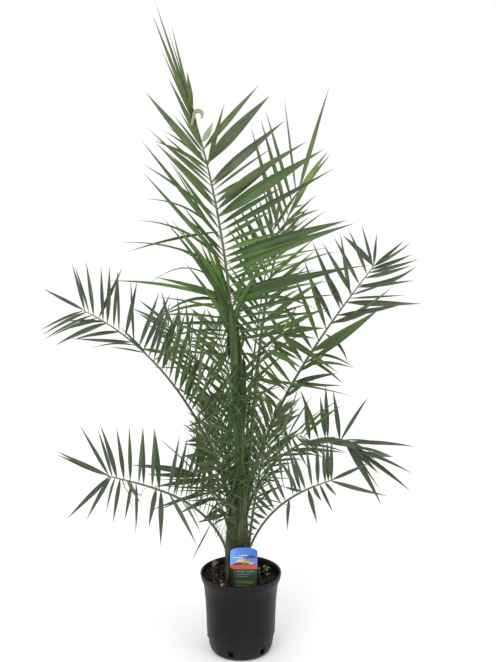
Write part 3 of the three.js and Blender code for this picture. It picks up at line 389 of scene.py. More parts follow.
# ------------------------------------------------------------------ mesh tools
class Build:
    """Collects closed pieces of one kind into one mesh."""

    def __init__(self):
        self.v, self.f, self.m, self.uv, self.sharp = [], [], [], [], []

    def add(self, verts, faces, mats, uvs=None, sharp=()):
        o = len(self.v)
        self.v.extend(map(tuple, verts))
        self.f.extend(tuple(o + i for i in f) for f in faces)
        self.m.extend(mats)
        self.uv.extend(uvs if uvs is not None else [(0.0, 0.0)] * len(verts))
        self.sharp.extend((min(o + a, o + b), max(o + a, o + b)) for a, b in sharp)

    def make(self, name, materials, smooth=True, angle=None):
        me = bpy.data.meshes.new(name)
        me.from_pydata([tuple(c * MM for c in v) for v in self.v], [], self.f)
        for mat in materials:
            me.materials.append(mat)
        me.polygons.foreach_set("material_index", self.m)
        me.polygons.foreach_set("use_smooth", [smooth] * len(self.f))
        layer = me.uv_layers.new(name="leafuv")
        loops = np.zeros(len(me.loops), np.int32)
        me.loops.foreach_get("vertex_index", loops)
        layer.data.foreach_set("uv", np.array(self.uv, np.float32)[loops].ravel())
        if self.sharp:
            ends = np.zeros(len(me.edges) * 2, np.int32)
            me.edges.foreach_get("vertices", ends)
            ends = np.sort(ends.reshape(-1, 2), 1)
            keys = set(self.sharp)
            mark = me.attributes.new("sharp_edge", "BOOLEAN", "EDGE")
            mark.data.foreach_set("value", [tuple(e) in keys for e in ends.tolist()])
        me.validate()
        me.update()
        if angle is not None:
            me.set_sharp_from_angle(angle=math.radians(angle))
        ob = bpy.data.objects.new(name, me)
        bpy.context.scene.collection.objects.link(ob)
        return ob


def tube_faces(rings, m, closed_tip=False):
    """Quads over rings of m points, with an end cap at each open end."""
    faces = []
    for i in range(rings - 1):
        for j in range(m):
            a, b = i * m + j, i * m + (j + 1) % m
            faces.append((a, b, b + m, a + m))
    faces.append(tuple(range(m - 1, -1, -1)))
    top = (rings - 1) * m
    if closed_tip:
        faces.extend((top + j, top + (j + 1) % m, top + m) for j in range(m))
    else:
        faces.append(tuple(top + j for j in range(m)))
    return faces


def wind_out(verts, faces):
    """Flips the faces of a closed piece if they point inwards."""
    vol = 0.0
    V = np.asarray(verts)
    for f in faces:
        a = V[f[0]]
        for i in range(1, len(f) - 1):
            vol += np.dot(a, np.cross(V[f[i]], V[f[i + 1]]))
    return faces if vol > 0 else [tuple(reversed(f)) for f in faces]


# ------------------------------------------------------------------ materials
def material(name):
    m = bpy.data.materials.new(name)
    m.use_nodes = True
    nt = m.node_tree
    bsdf = nt.nodes["Principled BSDF"]
    return m, nt, bsdf


def coords(nt, kind="Object", scale=(1, 1, 1)):
    tc = nt.nodes.new("ShaderNodeTexCoord")
    mp = nt.nodes.new("ShaderNodeMapping")
    mp.inputs["Scale"].default_value = scale
    nt.links.new(tc.outputs[kind], mp.inputs["Vector"])
    return mp.outputs["Vector"]


def noise_tex(nt, vec, scale, detail=4.0, rough=0.55):
    n = nt.nodes.new("ShaderNodeTexNoise")
    n.inputs["Scale"].default_value = scale
    n.inputs["Detail"].default_value = detail
    n.inputs["Roughness"].default_value = rough
    nt.links.new(vec, n.inputs["Vector"])
    return n.outputs["Fac"]


def ramp(nt, fac, stops):
    r = nt.nodes.new("ShaderNodeValToRGB")
    els = r.color_ramp.elements
    while len(els) < len(stops):
        els.new(0.5)
    for e, (p, c) in zip(els, stops):
        e.position = p
        e.color = (*c, 1) if len(c) == 3 else c
    nt.links.new(fac, r.inputs["Fac"])
    return r.outputs["Color"]


def grey(nt, fac, stops):
    return ramp(nt, fac, [(p, (v, v, v)) for p, v in stops])


def mix(nt, fac, a, b, blend="MIX"):
    n = nt.nodes.new("ShaderNodeMix")
    n.data_type = "RGBA"
    n.blend_type = blend
    if isinstance(fac, float):
        n.inputs["Factor"].default_value = fac
    else:
        nt.links.new(fac, n.inputs["Factor"])
    for sock, val in ((n.inputs[6], a), (n.inputs[7], b)):
        if isinstance(val, tuple):
            sock.default_value = (*val, 1)
        else:
            nt.links.new(val, sock)
    return n.outputs[2]


def bump(nt, bsdf, height, strength, distance):
    b = nt.nodes.new("ShaderNodeBump")
    b.inputs["Strength"].default_value = strength
    b.inputs["Distance"].default_value = distance
    nt.links.new(height, b.inputs["Height"])
    nt.links.new(b.outputs["Normal"], bsdf.inputs["Normal"])


def times(c, k):
    return tuple(min(1.0, x * k) for x in c)


def leaf_material(name, colour, under=False, tip=(0.112, 0.130, 0.086)):
    m, nt, bsdf = material(name)
    obj = coords(nt)
    n1 = noise_tex(nt, obj, 22.0, 3.0)
    base = ramp(nt, n1, [(0.30, times(colour, 0.72)), (0.52, colour), (0.74, times(colour, 1.32))])
    uv = coords(nt, "UV")
    sep = nt.nodes.new("ShaderNodeSeparateXYZ")
    nt.links.new(uv, sep.inputs["Vector"])
    # pale midrib, fine veins along the blade, and a dry tip
    mid = grey(nt, sep.outputs["Y"], [(0.44, 0.0), (0.5, 1.0), (0.56, 0.0)])
    base = mix(nt, mid, base, times(colour, 1.55))
    veins = noise_tex(nt, coords(nt, "UV", (3.0, 46.0, 1.0)), 1.0, 2.0)
    base = mix(nt, grey(nt, veins, [(0.35, 0.0), (0.7, 0.35)]), base, times(colour, 0.62))
    dry = grey(nt, sep.outputs["X"], [(0.60, 0.0), (0.84, 0.30), (0.985, 0.85)])
    base = mix(nt, dry, base, tip)
    foot = grey(nt, sep.outputs["X"], [(0.0, 0.7), (0.07, 0.0)])
    base = mix(nt, foot, base, (0.26, 0.28, 0.13))
    nt.links.new(base, bsdf.inputs["Base Color"])
    nt.links.new(grey(nt, noise_tex(nt, obj, 90.0, 2.0), [(0.3, 0.58 if under else 0.40), (0.7, 0.72 if under else 0.54)]),
                 bsdf.inputs["Roughness"])
    bsdf.inputs["Specular IOR Level"].default_value = 0.25 if under else 0.35
    bump(nt, bsdf, veins, 0.25, 0.0004)
    return m


LEAF = {
    "deep": (0.036, 0.070, 0.019),
    "mid": (0.056, 0.108, 0.021),
    "olive": (0.086, 0.122, 0.038),
    "bright": (0.085, 0.180, 0.026),
    "ash": (0.076, 0.101, 0.050),
    "grey": (0.054, 0.078, 0.040),
    "lime": (0.165, 0.225, 0.055),
}
UNDER = {k: tuple(0.66 * c + 0.34 * g for c, g in zip(times(v, 1.25), (0.092, 0.130, 0.072))) for k, v in LEAF.items()}
PAINTS = list(LEAF)
leaf_mats = []
for key in PAINTS:
    leaf_mats.append(leaf_material("leaf_" + key, LEAF[key]))
    leaf_mats.append(leaf_material("leaf_" + key + "_under", UNDER[key], under=True))
leaf_mats.append(leaf_material("leaf_pale", (0.31, 0.36, 0.24), under=True, tip=(0.42, 0.40, 0.30)))
PALE = len(leaf_mats) - 1


def stalk_material(name, green, pale, far=None):
    m, nt, bsdf = material(name)
    obj = coords(nt, "Object", (1, 1, 0.12))
    n1 = noise_tex(nt, obj, 120.0, 4.0)
    base = ramp(nt, n1, [(0.30, times(green, 0.7)), (0.5, green), (0.72, pale)])
    if far:                                  # the outer end of a rib is paler: partly the rib's own grey, partly a painted highlight
        sep = nt.nodes.new("ShaderNodeSeparateXYZ")
        nt.links.new(coords(nt, "UV"), sep.inputs["Vector"])
        base = mix(nt, grey(nt, sep.outputs["X"], [(0.55, 0.0), (0.9, 0.8)]), base, far)
    nt.links.new(base, bsdf.inputs["Base Color"])
    nt.links.new(grey(nt, noise_tex(nt, coords(nt), 60.0), [(0.3, 0.34), (0.7, 0.52)]), bsdf.inputs["Roughness"])
    bump(nt, bsdf, n1, 0.35, 0.0006)
    return m


stalk_mats = [
    stalk_material("stalk_green", (0.048, 0.080, 0.020), (0.098, 0.140, 0.046), (0.100, 0.128, 0.070)),
    # stalk_grey's greens are darkened as painted shade for the crowded middle of the plant; its pale far colour is
    # partly a painted highlight
    stalk_material("stalk_grey", (0.048, 0.072, 0.024), (0.096, 0.126, 0.048), (0.150, 0.162, 0.128)),
    stalk_material("spine_tan", (0.105, 0.140, 0.050), (0.205, 0.240, 0.110)),
]


def fibre_material(name, dark, light, scale=55.0):
    m, nt, bsdf = material(name)
    n1 = noise_tex(nt, coords(nt, "Object", (1, 1, 0.10)), scale * 3.2, 5.0, 0.65)
    n2 = noise_tex(nt, coords(nt), 26.0, 3.0)
    base = ramp(nt, n1, [(0.28, dark), (0.55, tuple(0.5 * (a + b) for a, b in zip(dark, light))), (0.78, light)])
    base = mix(nt, grey(nt, n2, [(0.35, 0.0), (0.7, 0.6)]), base, times(dark, 0.7))
    nt.links.new(base, bsdf.inputs["Base Color"])
    nt.links.new(grey(nt, n1, [(0.3, 0.92), (0.8, 0.70)]), bsdf.inputs["Roughness"])
    bump(nt, bsdf, n1, 0.8, 0.0012)
    return m


def core_material(name, low, low_light, high, high_light, z0, z1):
    """Fibre at the foot that turns to green stalk between heights z0 and z1."""
    m, nt, bsdf = material(name)
    n1 = noise_tex(nt, coords(nt, "Object", (1, 1, 0.08)), 150.0, 5.0, 0.6)
    brown = ramp(nt, n1, [(0.3, low), (0.75, low_light)])
    green = ramp(nt, n1, [(0.3, high), (0.75, high_light)])
    sep = nt.nodes.new("ShaderNodeSeparateXYZ")
    nt.links.new(coords(nt), sep.inputs["Vector"])
    rng = nt.nodes.new("ShaderNodeMapRange")
    rng.inputs["From Min"].default_value = z0
    rng.inputs["From Max"].default_value = z1
    nt.links.new(sep.outputs["Z"], rng.inputs["Value"])
    edge = nt.nodes.new("ShaderNodeMath")
    edge.operation = "ADD"
    wob = nt.nodes.new("ShaderNodeMath")
    wob.operation = "MULTIPLY_ADD"
    wob.inputs[1].default_value = 1.6
    wob.inputs[2].default_value = -0.8
    nt.links.new(noise_tex(nt, coords(nt, "Object", (1, 1, 0.3)), 40.0, 3.0), wob.inputs[0])
    nt.links.new(rng.outputs["Result"], edge.inputs[0])
    nt.links.new(wob.outputs[0], edge.inputs[1])
    base = mix(nt, grey(nt, edge.outputs[0], [(0.2, 0.0), (0.8, 1.0)]), brown, green)
    nt.links.new(base, bsdf.inputs["Base Color"])
    nt.links.new(grey(nt, n1, [(0.3, 0.85), (0.8, 0.5)]), bsdf.inputs["Roughness"])
    bump(nt, bsdf, n1, 0.7, 0.0012)
    return m


# ------------------------------------------------------------------ leaflets
US = [0.0, 0.03, 0.08, 0.15, 0.24, 0.34, 0.45, 0.56, 0.67, 0.77, 0.86, 0.94]
WIDE = [(0, 0.20), (0.03, 0.34), (0.08, 0.52), (0.15, 0.76), (0.24, 0.94), (0.34, 1.0), (0.45, 0.95), (0.56, 0.83),
        (0.67, 0.66), (0.77, 0.47), (0.86, 0.28), (0.94, 0.12), (1, 0.0)]
ACROSS = [(-1, 0), (-0.55, 1), (0, 1), (0.55, 1), (1, 0), (0.55, -1), (0, -1), (-0.55, -1)]
M = len(ACROSS)
WIDEN = 1.19                           # a folded blade shows less than its flat width
FACING = np.array([0.0, -0.97, 0.24])   # the open side of the plant
FACE_SHARE = 0.8
LEAF_FACES = [tuple(reversed(f)) for f in tube_faces(len(US), M, closed_tip=True)]
LEAF_SHARP = [(i * M + j, (i + 1) * M + j) for i in range(len(US) - 1) for j in (0, 2, 4, 6)]


def turn(v, axis, angle):
    c, s = math.cos(angle), math.sin(angle)
    return v * c + np.cross(axis, v) * s + axis * np.dot(axis, v) * (1 - c)


def leaflet(build, foot, tip, across, up, width, mats, bow=0.03, sway=0.0, twist=0.0, fold=(44, 24, 30), thick=0.9, sag=None):
    """A folded, pointed blade from foot to tip. across: width direction; up: the side its trough opens to."""
    foot, tip = np.asarray(foot, float), np.asarray(tip, float)
    chord = tip - foot
    L = np.linalg.norm(chord)
    D = chord / L
    W = unit(across - D * np.dot(across, D))
    if np.dot(np.cross(D, W), up) < 0:
        W = -W
    lift = np.array([0, 0, 1.0]) - D * D[2] if sag is None else np.asarray(sag, float) - D * np.dot(sag, D)
    side = np.cross(D, lift)
    verts, uvs = [], []
    for u in US + [1.0]:
        h = 4 * u * (1 - u)
        c = foot + chord * u + lift * (bow * L * h) + side * (sway * L * h)
        d = unit(chord + lift * (bow * L * 4 * (1 - 2 * u)) + side * (sway * L * 4 * (1 - 2 * u)))
        if u == 1.0:
            verts.append(c)
            uvs.append((1.0, 0.5))
            break
        w = turn(W, D, twist * u)
        w = unit(w - d * np.dot(w, d))
        n = np.cross(d, w)
        half = 0.5 * width * look_up(WIDE, u)
        fo = math.radians(np.interp(u, (0, 0.4, 1), fold))
        th = thick * (1 - 0.62 * u) * 0.5
        for s, face in ACROSS:
            a = abs(s)
            p = c + w * (s * half * math.cos(fo)) + n * (a * half * math.sin(fo) * (1.12 - 0.12 * a) + face * th * (1 - 0.45 * a))
            verts.append(p)
            uvs.append((u, 0.5 + 0.5 * s))
    top, under = mats
    kinds = []
    for f in range(len(LEAF_FACES)):
        if f < (len(US) - 1) * M:
            kinds.append(top if f % M < 4 else under)
        elif f == (len(US) - 1) * M:
            kinds.append(top)
        else:
            kinds.append(top if (f - (len(US) - 1) * M - 1) < 4 else under)
    build.add(verts, LEAF_FACES, kinds, uvs, LEAF_SHARP)


def dealt(name, keys):
    """The table's leaflets and the even ones between rows of four numbers."""
    f = FRONDS[name]
    out = []
    for i, k in enumerate(keys):
        out.append((tuple(k), True))
        if i + 1 < len(keys) and len(k) == 4 and len(keys[i + 1]) == 4:
            q = keys[i + 1]
            n = round((q[0] - k[0]) * f["length"] / look(name)["pitch"]) - 1
            for j in range(1, n + 1):
                u = j / (n + 1)
                out.append((tuple(k[m] + (q[m] - k[m]) * u for m in range(4)), False))
    return out


def look(name):
    return {**PLAIN, **LOOK.get(name, {})}


def rib_half(name, t):
    """Half the width of a stalk or rib."""
    r, t0 = look(name)["rib"], LEAVE[name]
    first = min(FRONDS[name]["plus"][0][0], FRONDS[name]["minus"][0][0])
    first = max(first, t0 + 0.06)
    return float(np.interp(t, [0, t0, t0 + 0.35 * (first - t0), first, 0.85, 1.0], [r * 1.9, r * 1.75, r * 1.15, r, r * 0.60, r * 0.30]))


REACH_LOW, REACH_HIGH = np.array(cad_low) / MM - 32, np.array(cad_high) / MM + 32


def drawn_in(foot, tip):
    """The tip, drawn back along its leaflet where it would reach well past the part's own box."""
    share = 1.0
    for i in range(3):
        edge = REACH_HIGH[i] if tip[i] > REACH_HIGH[i] else REACH_LOW[i] if tip[i] < REACH_LOW[i] else None
        if edge is not None:
            share = min(share, max((edge - foot[i]) / (tip[i] - foot[i]), 0.5))
    return foot + (tip - foot) * share


def grow_leaflets(name, build):
    f, lk = FRONDS[name], look(name)
    r = random.Random(name + "leaves")
    for si, (side, row) in enumerate(((1, "plus"), (-1, "minus"))):
        for row_of, fixed in dealt(name, f[row]):
            t, angle, lift, length = row_of[:4]
            own = row_of[4:]                 # its own width and bow, if the table gives them
            if t < LEAVE[name] + 0.03:
                continue
            T, N, B = axes(f, t)
            P = along(name, t)
            loose = lk["loose"] * (1 if not fixed else 0 if lk["loose"] < 1.5 else 0.4)
            angle += r.uniform(-3.8, 3.8) * loose
            lift += r.uniform(-6.5, 6.5) * loose
            length *= 1 + r.uniform(-0.06, 0.035) * loose
            a, d = math.radians(angle), math.radians(lift)
            D = T * math.cos(a) + math.sin(a) * (side * B * math.cos(d) + N * math.sin(d))
            half = rib_half(name, t)
            out = unit(D - T * np.dot(D, T)) if angle > 15 else side * B
            foot = P + out * half * 0.72 + N * half * 0.25
            tip = drawn_in(P, P + D * length)
            across = T - D * np.dot(T, D)
            if np.linalg.norm(across) < 0.25:
                across = side * B
            across = unit(across)
            up = N
            roll = math.radians((14 if own else lk["turn"][si]) + r.gauss(0, 9)) * side
            D1 = unit(tip - foot)
            across = turn(across, D1, roll)
            up = turn(up, D1, roll)
            if own:                          # these twist round to show their faces
                open_side = unit(np.cross(D1, FACING))
                if np.dot(open_side, across) < 0:
                    open_side = -open_side
                across = unit(across * (1 - FACE_SHARE) + open_side * FACE_SHARE)
                across = turn(across, D1, math.radians(r.gauss(0, 8)))
            paint = r.choice(lk["far"] if lk["far"] and t > 0.78 else lk["paint"])
            k = PAINTS.index(OWN_PAINT.get((name, row, round(t, 3)), paint))
            w = own[0] * WIDEN if own else max(5.5, min(length * lk["width"][si] * r.uniform(0.88, 1.10), 27.0))
            bow = own[1] if own else r.uniform(0.004, 0.034)
            leaflet(build, foot, tip, across, up, w, (2 * k, 2 * k + 1), bow=bow, sway=r.uniform(-0.012, 0.012),
                    twist=math.radians(r.uniform(-14, 30)) * side, thick=0.75 + 0.012 * w)


def grow_low_leaflets(name, build, count, size):
    """Thin short leaflets on the bare lower part of a stalk, pointing many ways."""
    f, lk = FRONDS[name], look(name)
    r = random.Random(name + "low")
    t0 = LEAVE[name] + 0.02
    t1 = min(max(min(f["plus"][0][0], f["minus"][0][0]), t0) + 0.05, t0 + 0.24)
    for i in range(count):
        q = (i + r.random()) / count
        t = t0 + (t1 - t0) * q
        T, N, B = axes(f, t)
        P = along(name, t)
        side = 1 if i % 2 else -1
        if P[2] < 330:
            continue
        a, d = math.radians(r.uniform(30, 88)), math.radians(r.uniform(-35, 75))
        D = unit(T * math.cos(a) + math.sin(a) * (side * B * math.cos(d) + N * math.sin(d)))
        length = size * (0.45 + 0.55 * q) * r.uniform(0.7, 1.2)
        k = PAINTS.index(r.choice(lk["paint"] + ("olive",)))
        half = rib_half(name, t)
        out = unit(D - T * np.dot(D, T))
        leaflet(build, P + out * half * 0.7, P + D * length, T - D * np.dot(T, D), N, r.uniform(4.4, 8.0), (2 * k, 2 * k + 1),
                bow=r.uniform(-0.02, 0.08), sway=r.uniform(-0.04, 0.04), twist=math.radians(r.uniform(-20, 30)), thick=0.8)


def grow_crossing_leaflets(build, count, seed):
    """Thin leaflets from the lowest sheaths that sweep round and across the column."""
    r = random.Random(seed)
    for _ in range(count):
        z, a = r.uniform(345, 660), r.uniform(0, 2 * math.pi)
        turn_way = r.choice((-1, 1))
        c = core_centre(z)
        R = look_up(SKIN, z)
        out = np.array([math.cos(a), math.sin(a), 0.0])
        tangent = np.array([-math.sin(a), math.cos(a), 0.0]) * turn_way
        foot = c + out * (R + 0.6)
        rise = r.uniform(-0.25, 0.75)
        D = unit(tangent * r.uniform(0.9, 1.2) + out * r.uniform(0.30, 0.80) + np.array([0, 0, rise]))
        length = r.uniform(55, 165)
        k = PAINTS.index(r.choice(("mid", "olive", "olive", "mid", "bright")))
        across = unit(np.cross(D, out))
        leaflet(build, foot, foot + D * length, across, out, r.uniform(4.0, 7.6), (2 * k, 2 * k + 1),
                bow=r.uniform(0.0, 0.10), sway=r.uniform(-0.05, 0.05), twist=math.radians(r.uniform(-30, 30)), thick=0.8)


# ------------------------------------------------------------------ ribs and stalks
RIB_M = 12


def grow_rib(name, build, mat):
    f = FRONDS[name]
    t0 = max(0.0, LEAVE[name] - 34.0 / f["length"])
    n = int((1.0 - t0) * f["length"] / 9.0)
    first = max(min(f["plus"][0][0], f["minus"][0][0]), LEAVE[name] + 0.06)
    verts, uvs = [], []
    for i in range(n + 1):
        t = t0 + (1 - t0) * i / n
        T, N, B = axes(f, t)
        k = min(max((t - LEAVE[name]) / max(first - LEAVE[name], 0.05), 0), 1)
        back = math.radians(poly(f["roll"], t)) * (1 - k * k * (3 - 2 * k)) * 0.6
        N, B = turn(N, T, -back), turn(B, T, -back)
        a = rib_half(name, t)
        b = a * float(np.interp(t, [LEAVE[name], first, 1], [0.72, 0.86, 0.9]))
        P = along(name, t)
        for j in range(RIB_M):
            q = 2 * math.pi * j / RIB_M
            x, y = math.cos(q), math.sin(q)
            if y > 0:                        # the upper side is flatter, with a shallow channel
                y = y * (0.62 - 0.30 * (1 - abs(x)))
            verts.append(P + B * (a * x) + N * (b * y))
            uvs.append((t, j / RIB_M))
    faces = wind_out(verts, tube_faces(n + 1, RIB_M))
    build.add(verts, faces, [mat] * len(faces), uvs)


def thorn(build, foot, tip, half, mat):
    """A short four-sided spine."""
    D = unit(tip - foot)
    s = unit(np.cross(D, (0.3, 0.2, 1.0)))
    u = np.cross(D, s)
    mid = foot + (tip - foot) * 0.55
    verts = []
    for c, h in ((foot, half), (mid, half * 0.62)):
        verts += [c + s * h, c + u * h * 0.6, c - s * h, c - u * h * 0.6]
    verts.append(tip)
    faces = wind_out(verts, tube_faces(2, 4, closed_tip=True))
    build.add(verts, faces, [mat] * len(faces), [(0.1, 0.5)] * len(verts))


def grow_spines(name, build, mat):
    f = FRONDS[name]
    r = random.Random(name + "spines")
    first = min(f["plus"][0][0], f["minus"][0][0])
    t = LEAVE[name] + 22.0 / f["length"]
    while t < first - 8.0 / f["length"]:
        k = (t - LEAVE[name]) / max(first - LEAVE[name], 0.01)
        for side in (1, -1):
            tt = t + side * r.uniform(0, 5) / f["length"]
            T, N, B = axes(f, tt)
            P = along(name, tt)
            a = math.radians(r.uniform(42, 66))
            d = math.radians(r.uniform(-12, 30))
            D = T * math.cos(a) + math.sin(a) * (side * B * math.cos(d) + N * math.sin(d))
            half = rib_half(name, tt)
            foot = P + side * B * half * 0.7
            if r.random() < 0.45:
                lean = math.radians(r.uniform(30, 75))
                thorn(build, P + N * half * 0.6, P + N * half * 0.6 + (T * math.cos(lean) + N * math.sin(lean) + side * B * 0.35) * (12 + 30 * k), 1.0, mat)
            thorn(build, foot, foot + D * (14 + 40 * k * r.uniform(0.6, 1.15)), 1.2, mat)
        t += r.uniform(17, 25) / f["length"]


# ------------------------------------------------------------------ stem, column and leaf bases
SKIN = [(184, 36), (200, 33), (235, 29.5), (300, 25), (350, 21.5), (375, 19.5)] + [(415, 15.8), (450, 13.4), (500, 11.8), (560, 10.9), (640, 10.4), (700, 9.8),
                                          (760, 9.6), (800, 10.2), (835, 9.6), (862, 7.6), (880, 4.6)]


def core_mesh(build, z0, z1, grain, lobes, mat, seed):
    sides, step = 64, 4.0
    n = int(round((z1 - z0) / step))
    verts, uvs = [], []
    for i in range(n + 1):
        z = z0 + (z1 - z0) * i / n
        c = core_centre(z)
        R = look_up(SKIN, z)
        for j in range(sides):
            q = 2 * math.pi * j / sides
            wave = 1 - 0.10 * abs(math.sin(lobes * 0.5 * q + 0.006 * z)) ** 1.4
            x, y = math.cos(q), math.sin(q)
            g = noise.noise(Vector((x * 9 + seed, y * 9, z * 0.012))) * grain
            g += noise.noise(Vector((x * 22, y * 22 + seed, z * 0.02))) * grain * 0.6
            verts.append(c + np.array([x, y, 0]) * (R * wave + g))
            uvs.append((i / n, j / sides))
    faces = wind_out(verts, tube_faces(n + 1, sides))
    build.add(verts, faces, [mat] * len(faces), uvs)


def leaf_base(build, name, drop, spread, mat, thick=4.6):
    """The clasping foot of a stalk: a curved plate up the core that narrows into the stalk."""
    t1 = LEAVE[name] + 0.01
    P = along(name, t1)
    zt = min(P[2], 700)
    c = core_centre(zt)
    psi = math.atan2(P[1] - c[1], P[0] - c[0])
    r = random.Random(name + "base")
    n, k = 16, 9
    zb = max(186.0, zt - drop)
    verts, uvs = [], []
    for i in range(n + 1):
        q = i / n
        z = zb + (zt - zb) * q
        c = core_centre(z)
        R = look_up(SKIN, z)
        half = math.radians(spread) * (1 - q) ** 1.25 + (rib_half(name, t1) * 1.0 / (R + 2)) * (1 - (1 - q) ** 3) + 0.05
        half = min(half, 1.9)
        out = 0.9 + thick * q ** 0.8
        ring_out, ring_in = [], []
        for j in range(k):
            s = -1 + 2 * j / (k - 1)
            a = psi + s * half + 0.10 * math.sin(3 * q + psi)
            ruf = noise.noise(Vector((a * 6, z * 0.03, 3.1))) * 0.9 * (1 - q)
            edge = 1 - 0.72 * abs(s) ** 3
            ring_out.append(np.array([c[0] + (R + out * edge + ruf) * math.cos(a), c[1] + (R + out * edge + ruf) * math.sin(a), z]))
            ring_in.append(np.array([c[0] + (R - 2.5) * math.cos(a), c[1] + (R - 2.5) * math.sin(a), z]))
        verts += ring_out + ring_in[::-1]
        uvs += [(q, 0.5)] * (2 * k)
    faces = wind_out(verts, tube_faces(n + 1, 2 * k))
    build.add(verts, faces, [mat] * len(faces), uvs)


def fibre(build, path, half, mat):
    verts = []
    for i, p in enumerate(path):
        d = unit(path[min(i + 1, len(path) - 1)] - path[max(i - 1, 0)])
        s = unit(np.cross(d, (0.1, 0.3, 1.0)))
        u = np.cross(d, s)
        h = half * (1 - 0.75 * i / (len(path) - 1))
        verts += [p + s * h, p + u * h * 0.5, p - s * h, p - u * h * 0.5]
    faces = wind_out(verts, tube_faces(len(path), 4))
    build.add(verts, faces, [mat] * len(faces), [(i / len(path), 0.5) for i in range(len(path)) for _ in range(4)])


def grow_fibres(build, count, z0, z1, mats, seed):
    r = random.Random(seed)
    for _ in range(count):
        z = r.uniform(z0, z1)
        a = r.uniform(0, 2 * math.pi)
        L = r.uniform(18, 62)
        lean = r.gauss(0, 0.9)
        lift = r.choice((0.3, 0.8, 2.0, 5.0, 9.0)) * r.random()
        path = []
        for i in range(8):
            q = i / 7
            zz = z + L * q * math.cos(lean * 0.6)
            if zz < 187:
                zz = 187
            aa = a + lean * L * q * 0.012
            c = core_centre(zz)
            R = look_up(SKIN, zz) + 1.6 + lift * q * q + 1.3 * math.sin(3 * q + a)
            path.append(np.array([c[0] + R * math.cos(aa), c[1] + R * math.sin(aa), zz]))
        fibre(build, path, r.uniform(0.35, 0.85), r.choice(mats))


# ------------------------------------------------------------------ pot
SIDES = 144
POT_OUT = [(0, 0), (58, 0), (68, 0), (70.8, 0.8), (73.2, 2.8), (75.6, 6.2), (77.2, 10), (79.2, 17), (80.6, 26), (81.5, 34), (82.3, 43), (84.1, 44.3), (84.6, 46.5),
           (85, 54), (85.6, 75), (86.3, 100), (87.4, 125), (89.2, 150), (91.4, 170), (93.2, 179), (95.4, 184.5), (97.6, 189.5), (98.9, 194.5),
           (99.6, 199), (99.9, 202.2), (99.3, 204.2), (97.8, 205), (96.3, 204.4), (95.3, 202.6)]
POT_IN = [(94.3, 199), (93.2, 192), (91, 181), (87.6, 158), (84.8, 125), (83, 100), (81.5, 60), (79, 36), (78.0, 30), (77.6, 26), (76.2, 17), (74.4, 11), (72.6, 8.5), (69, 6.5), (0, 6)]
SLOT_LOW, SLOT_HIGH = 6, 8             # outer profile rows between which a drain slot is open: z 10 to 26
SLOT_AT = [-108 + 60 * k for k in range(6)]


def dirt_and_rim_highlight_material(name, dark, light, brown):
    """Black moulded plastic, with a little dry earth on its foot and a painted highlight along the top edge of its rim.
    """
    m, nt, bsdf = material(name)
    n1 = noise_tex(nt, coords(nt), 9.0, 3.0)
    n2 = noise_tex(nt, coords(nt), 160.0, 3.0)
    base = ramp(nt, n1, [(0.3, dark), (0.7, light)])
    sep = nt.nodes.new("ShaderNodeSeparateXYZ")
    nt.links.new(coords(nt), sep.inputs["Vector"])
    low = grey(nt, sep.outputs["Z"], [(0.0, 0.75), (0.034, 0.45), (0.075, 0.0)])
    base = mix(nt, low, base, brown)
    # painted highlight: a lighter band along the top edge of the rim
    rim = grey(nt, sep.outputs["Z"], [(0.198, 0.0), (0.203, 0.55)])
    base = mix(nt, rim, base, times(light, 2.0))
    specks = grey(nt, n2, [(0.66, 0.0), (0.78, 0.25)])
    base = mix(nt, specks, base, times(brown, 1.8))
    nt.links.new(base, bsdf.inputs["Base Color"])
    nt.links.new(grey(nt, n1, [(0.3, 0.36), (0.7, 0.46)]), bsdf.inputs["Roughness"])
    bsdf.inputs["Specular IOR Level"].default_value = 0.15
    bump(nt, bsdf, noise_tex(nt, coords(nt), 240.0, 2.0), 0.12, 0.0004)
    return m


pot_black = dirt_and_rim_highlight_material("pot_black", (0.0050, 0.0050, 0.0066), (0.0085, 0.0085, 0.0100), (0.022, 0.018, 0.013))


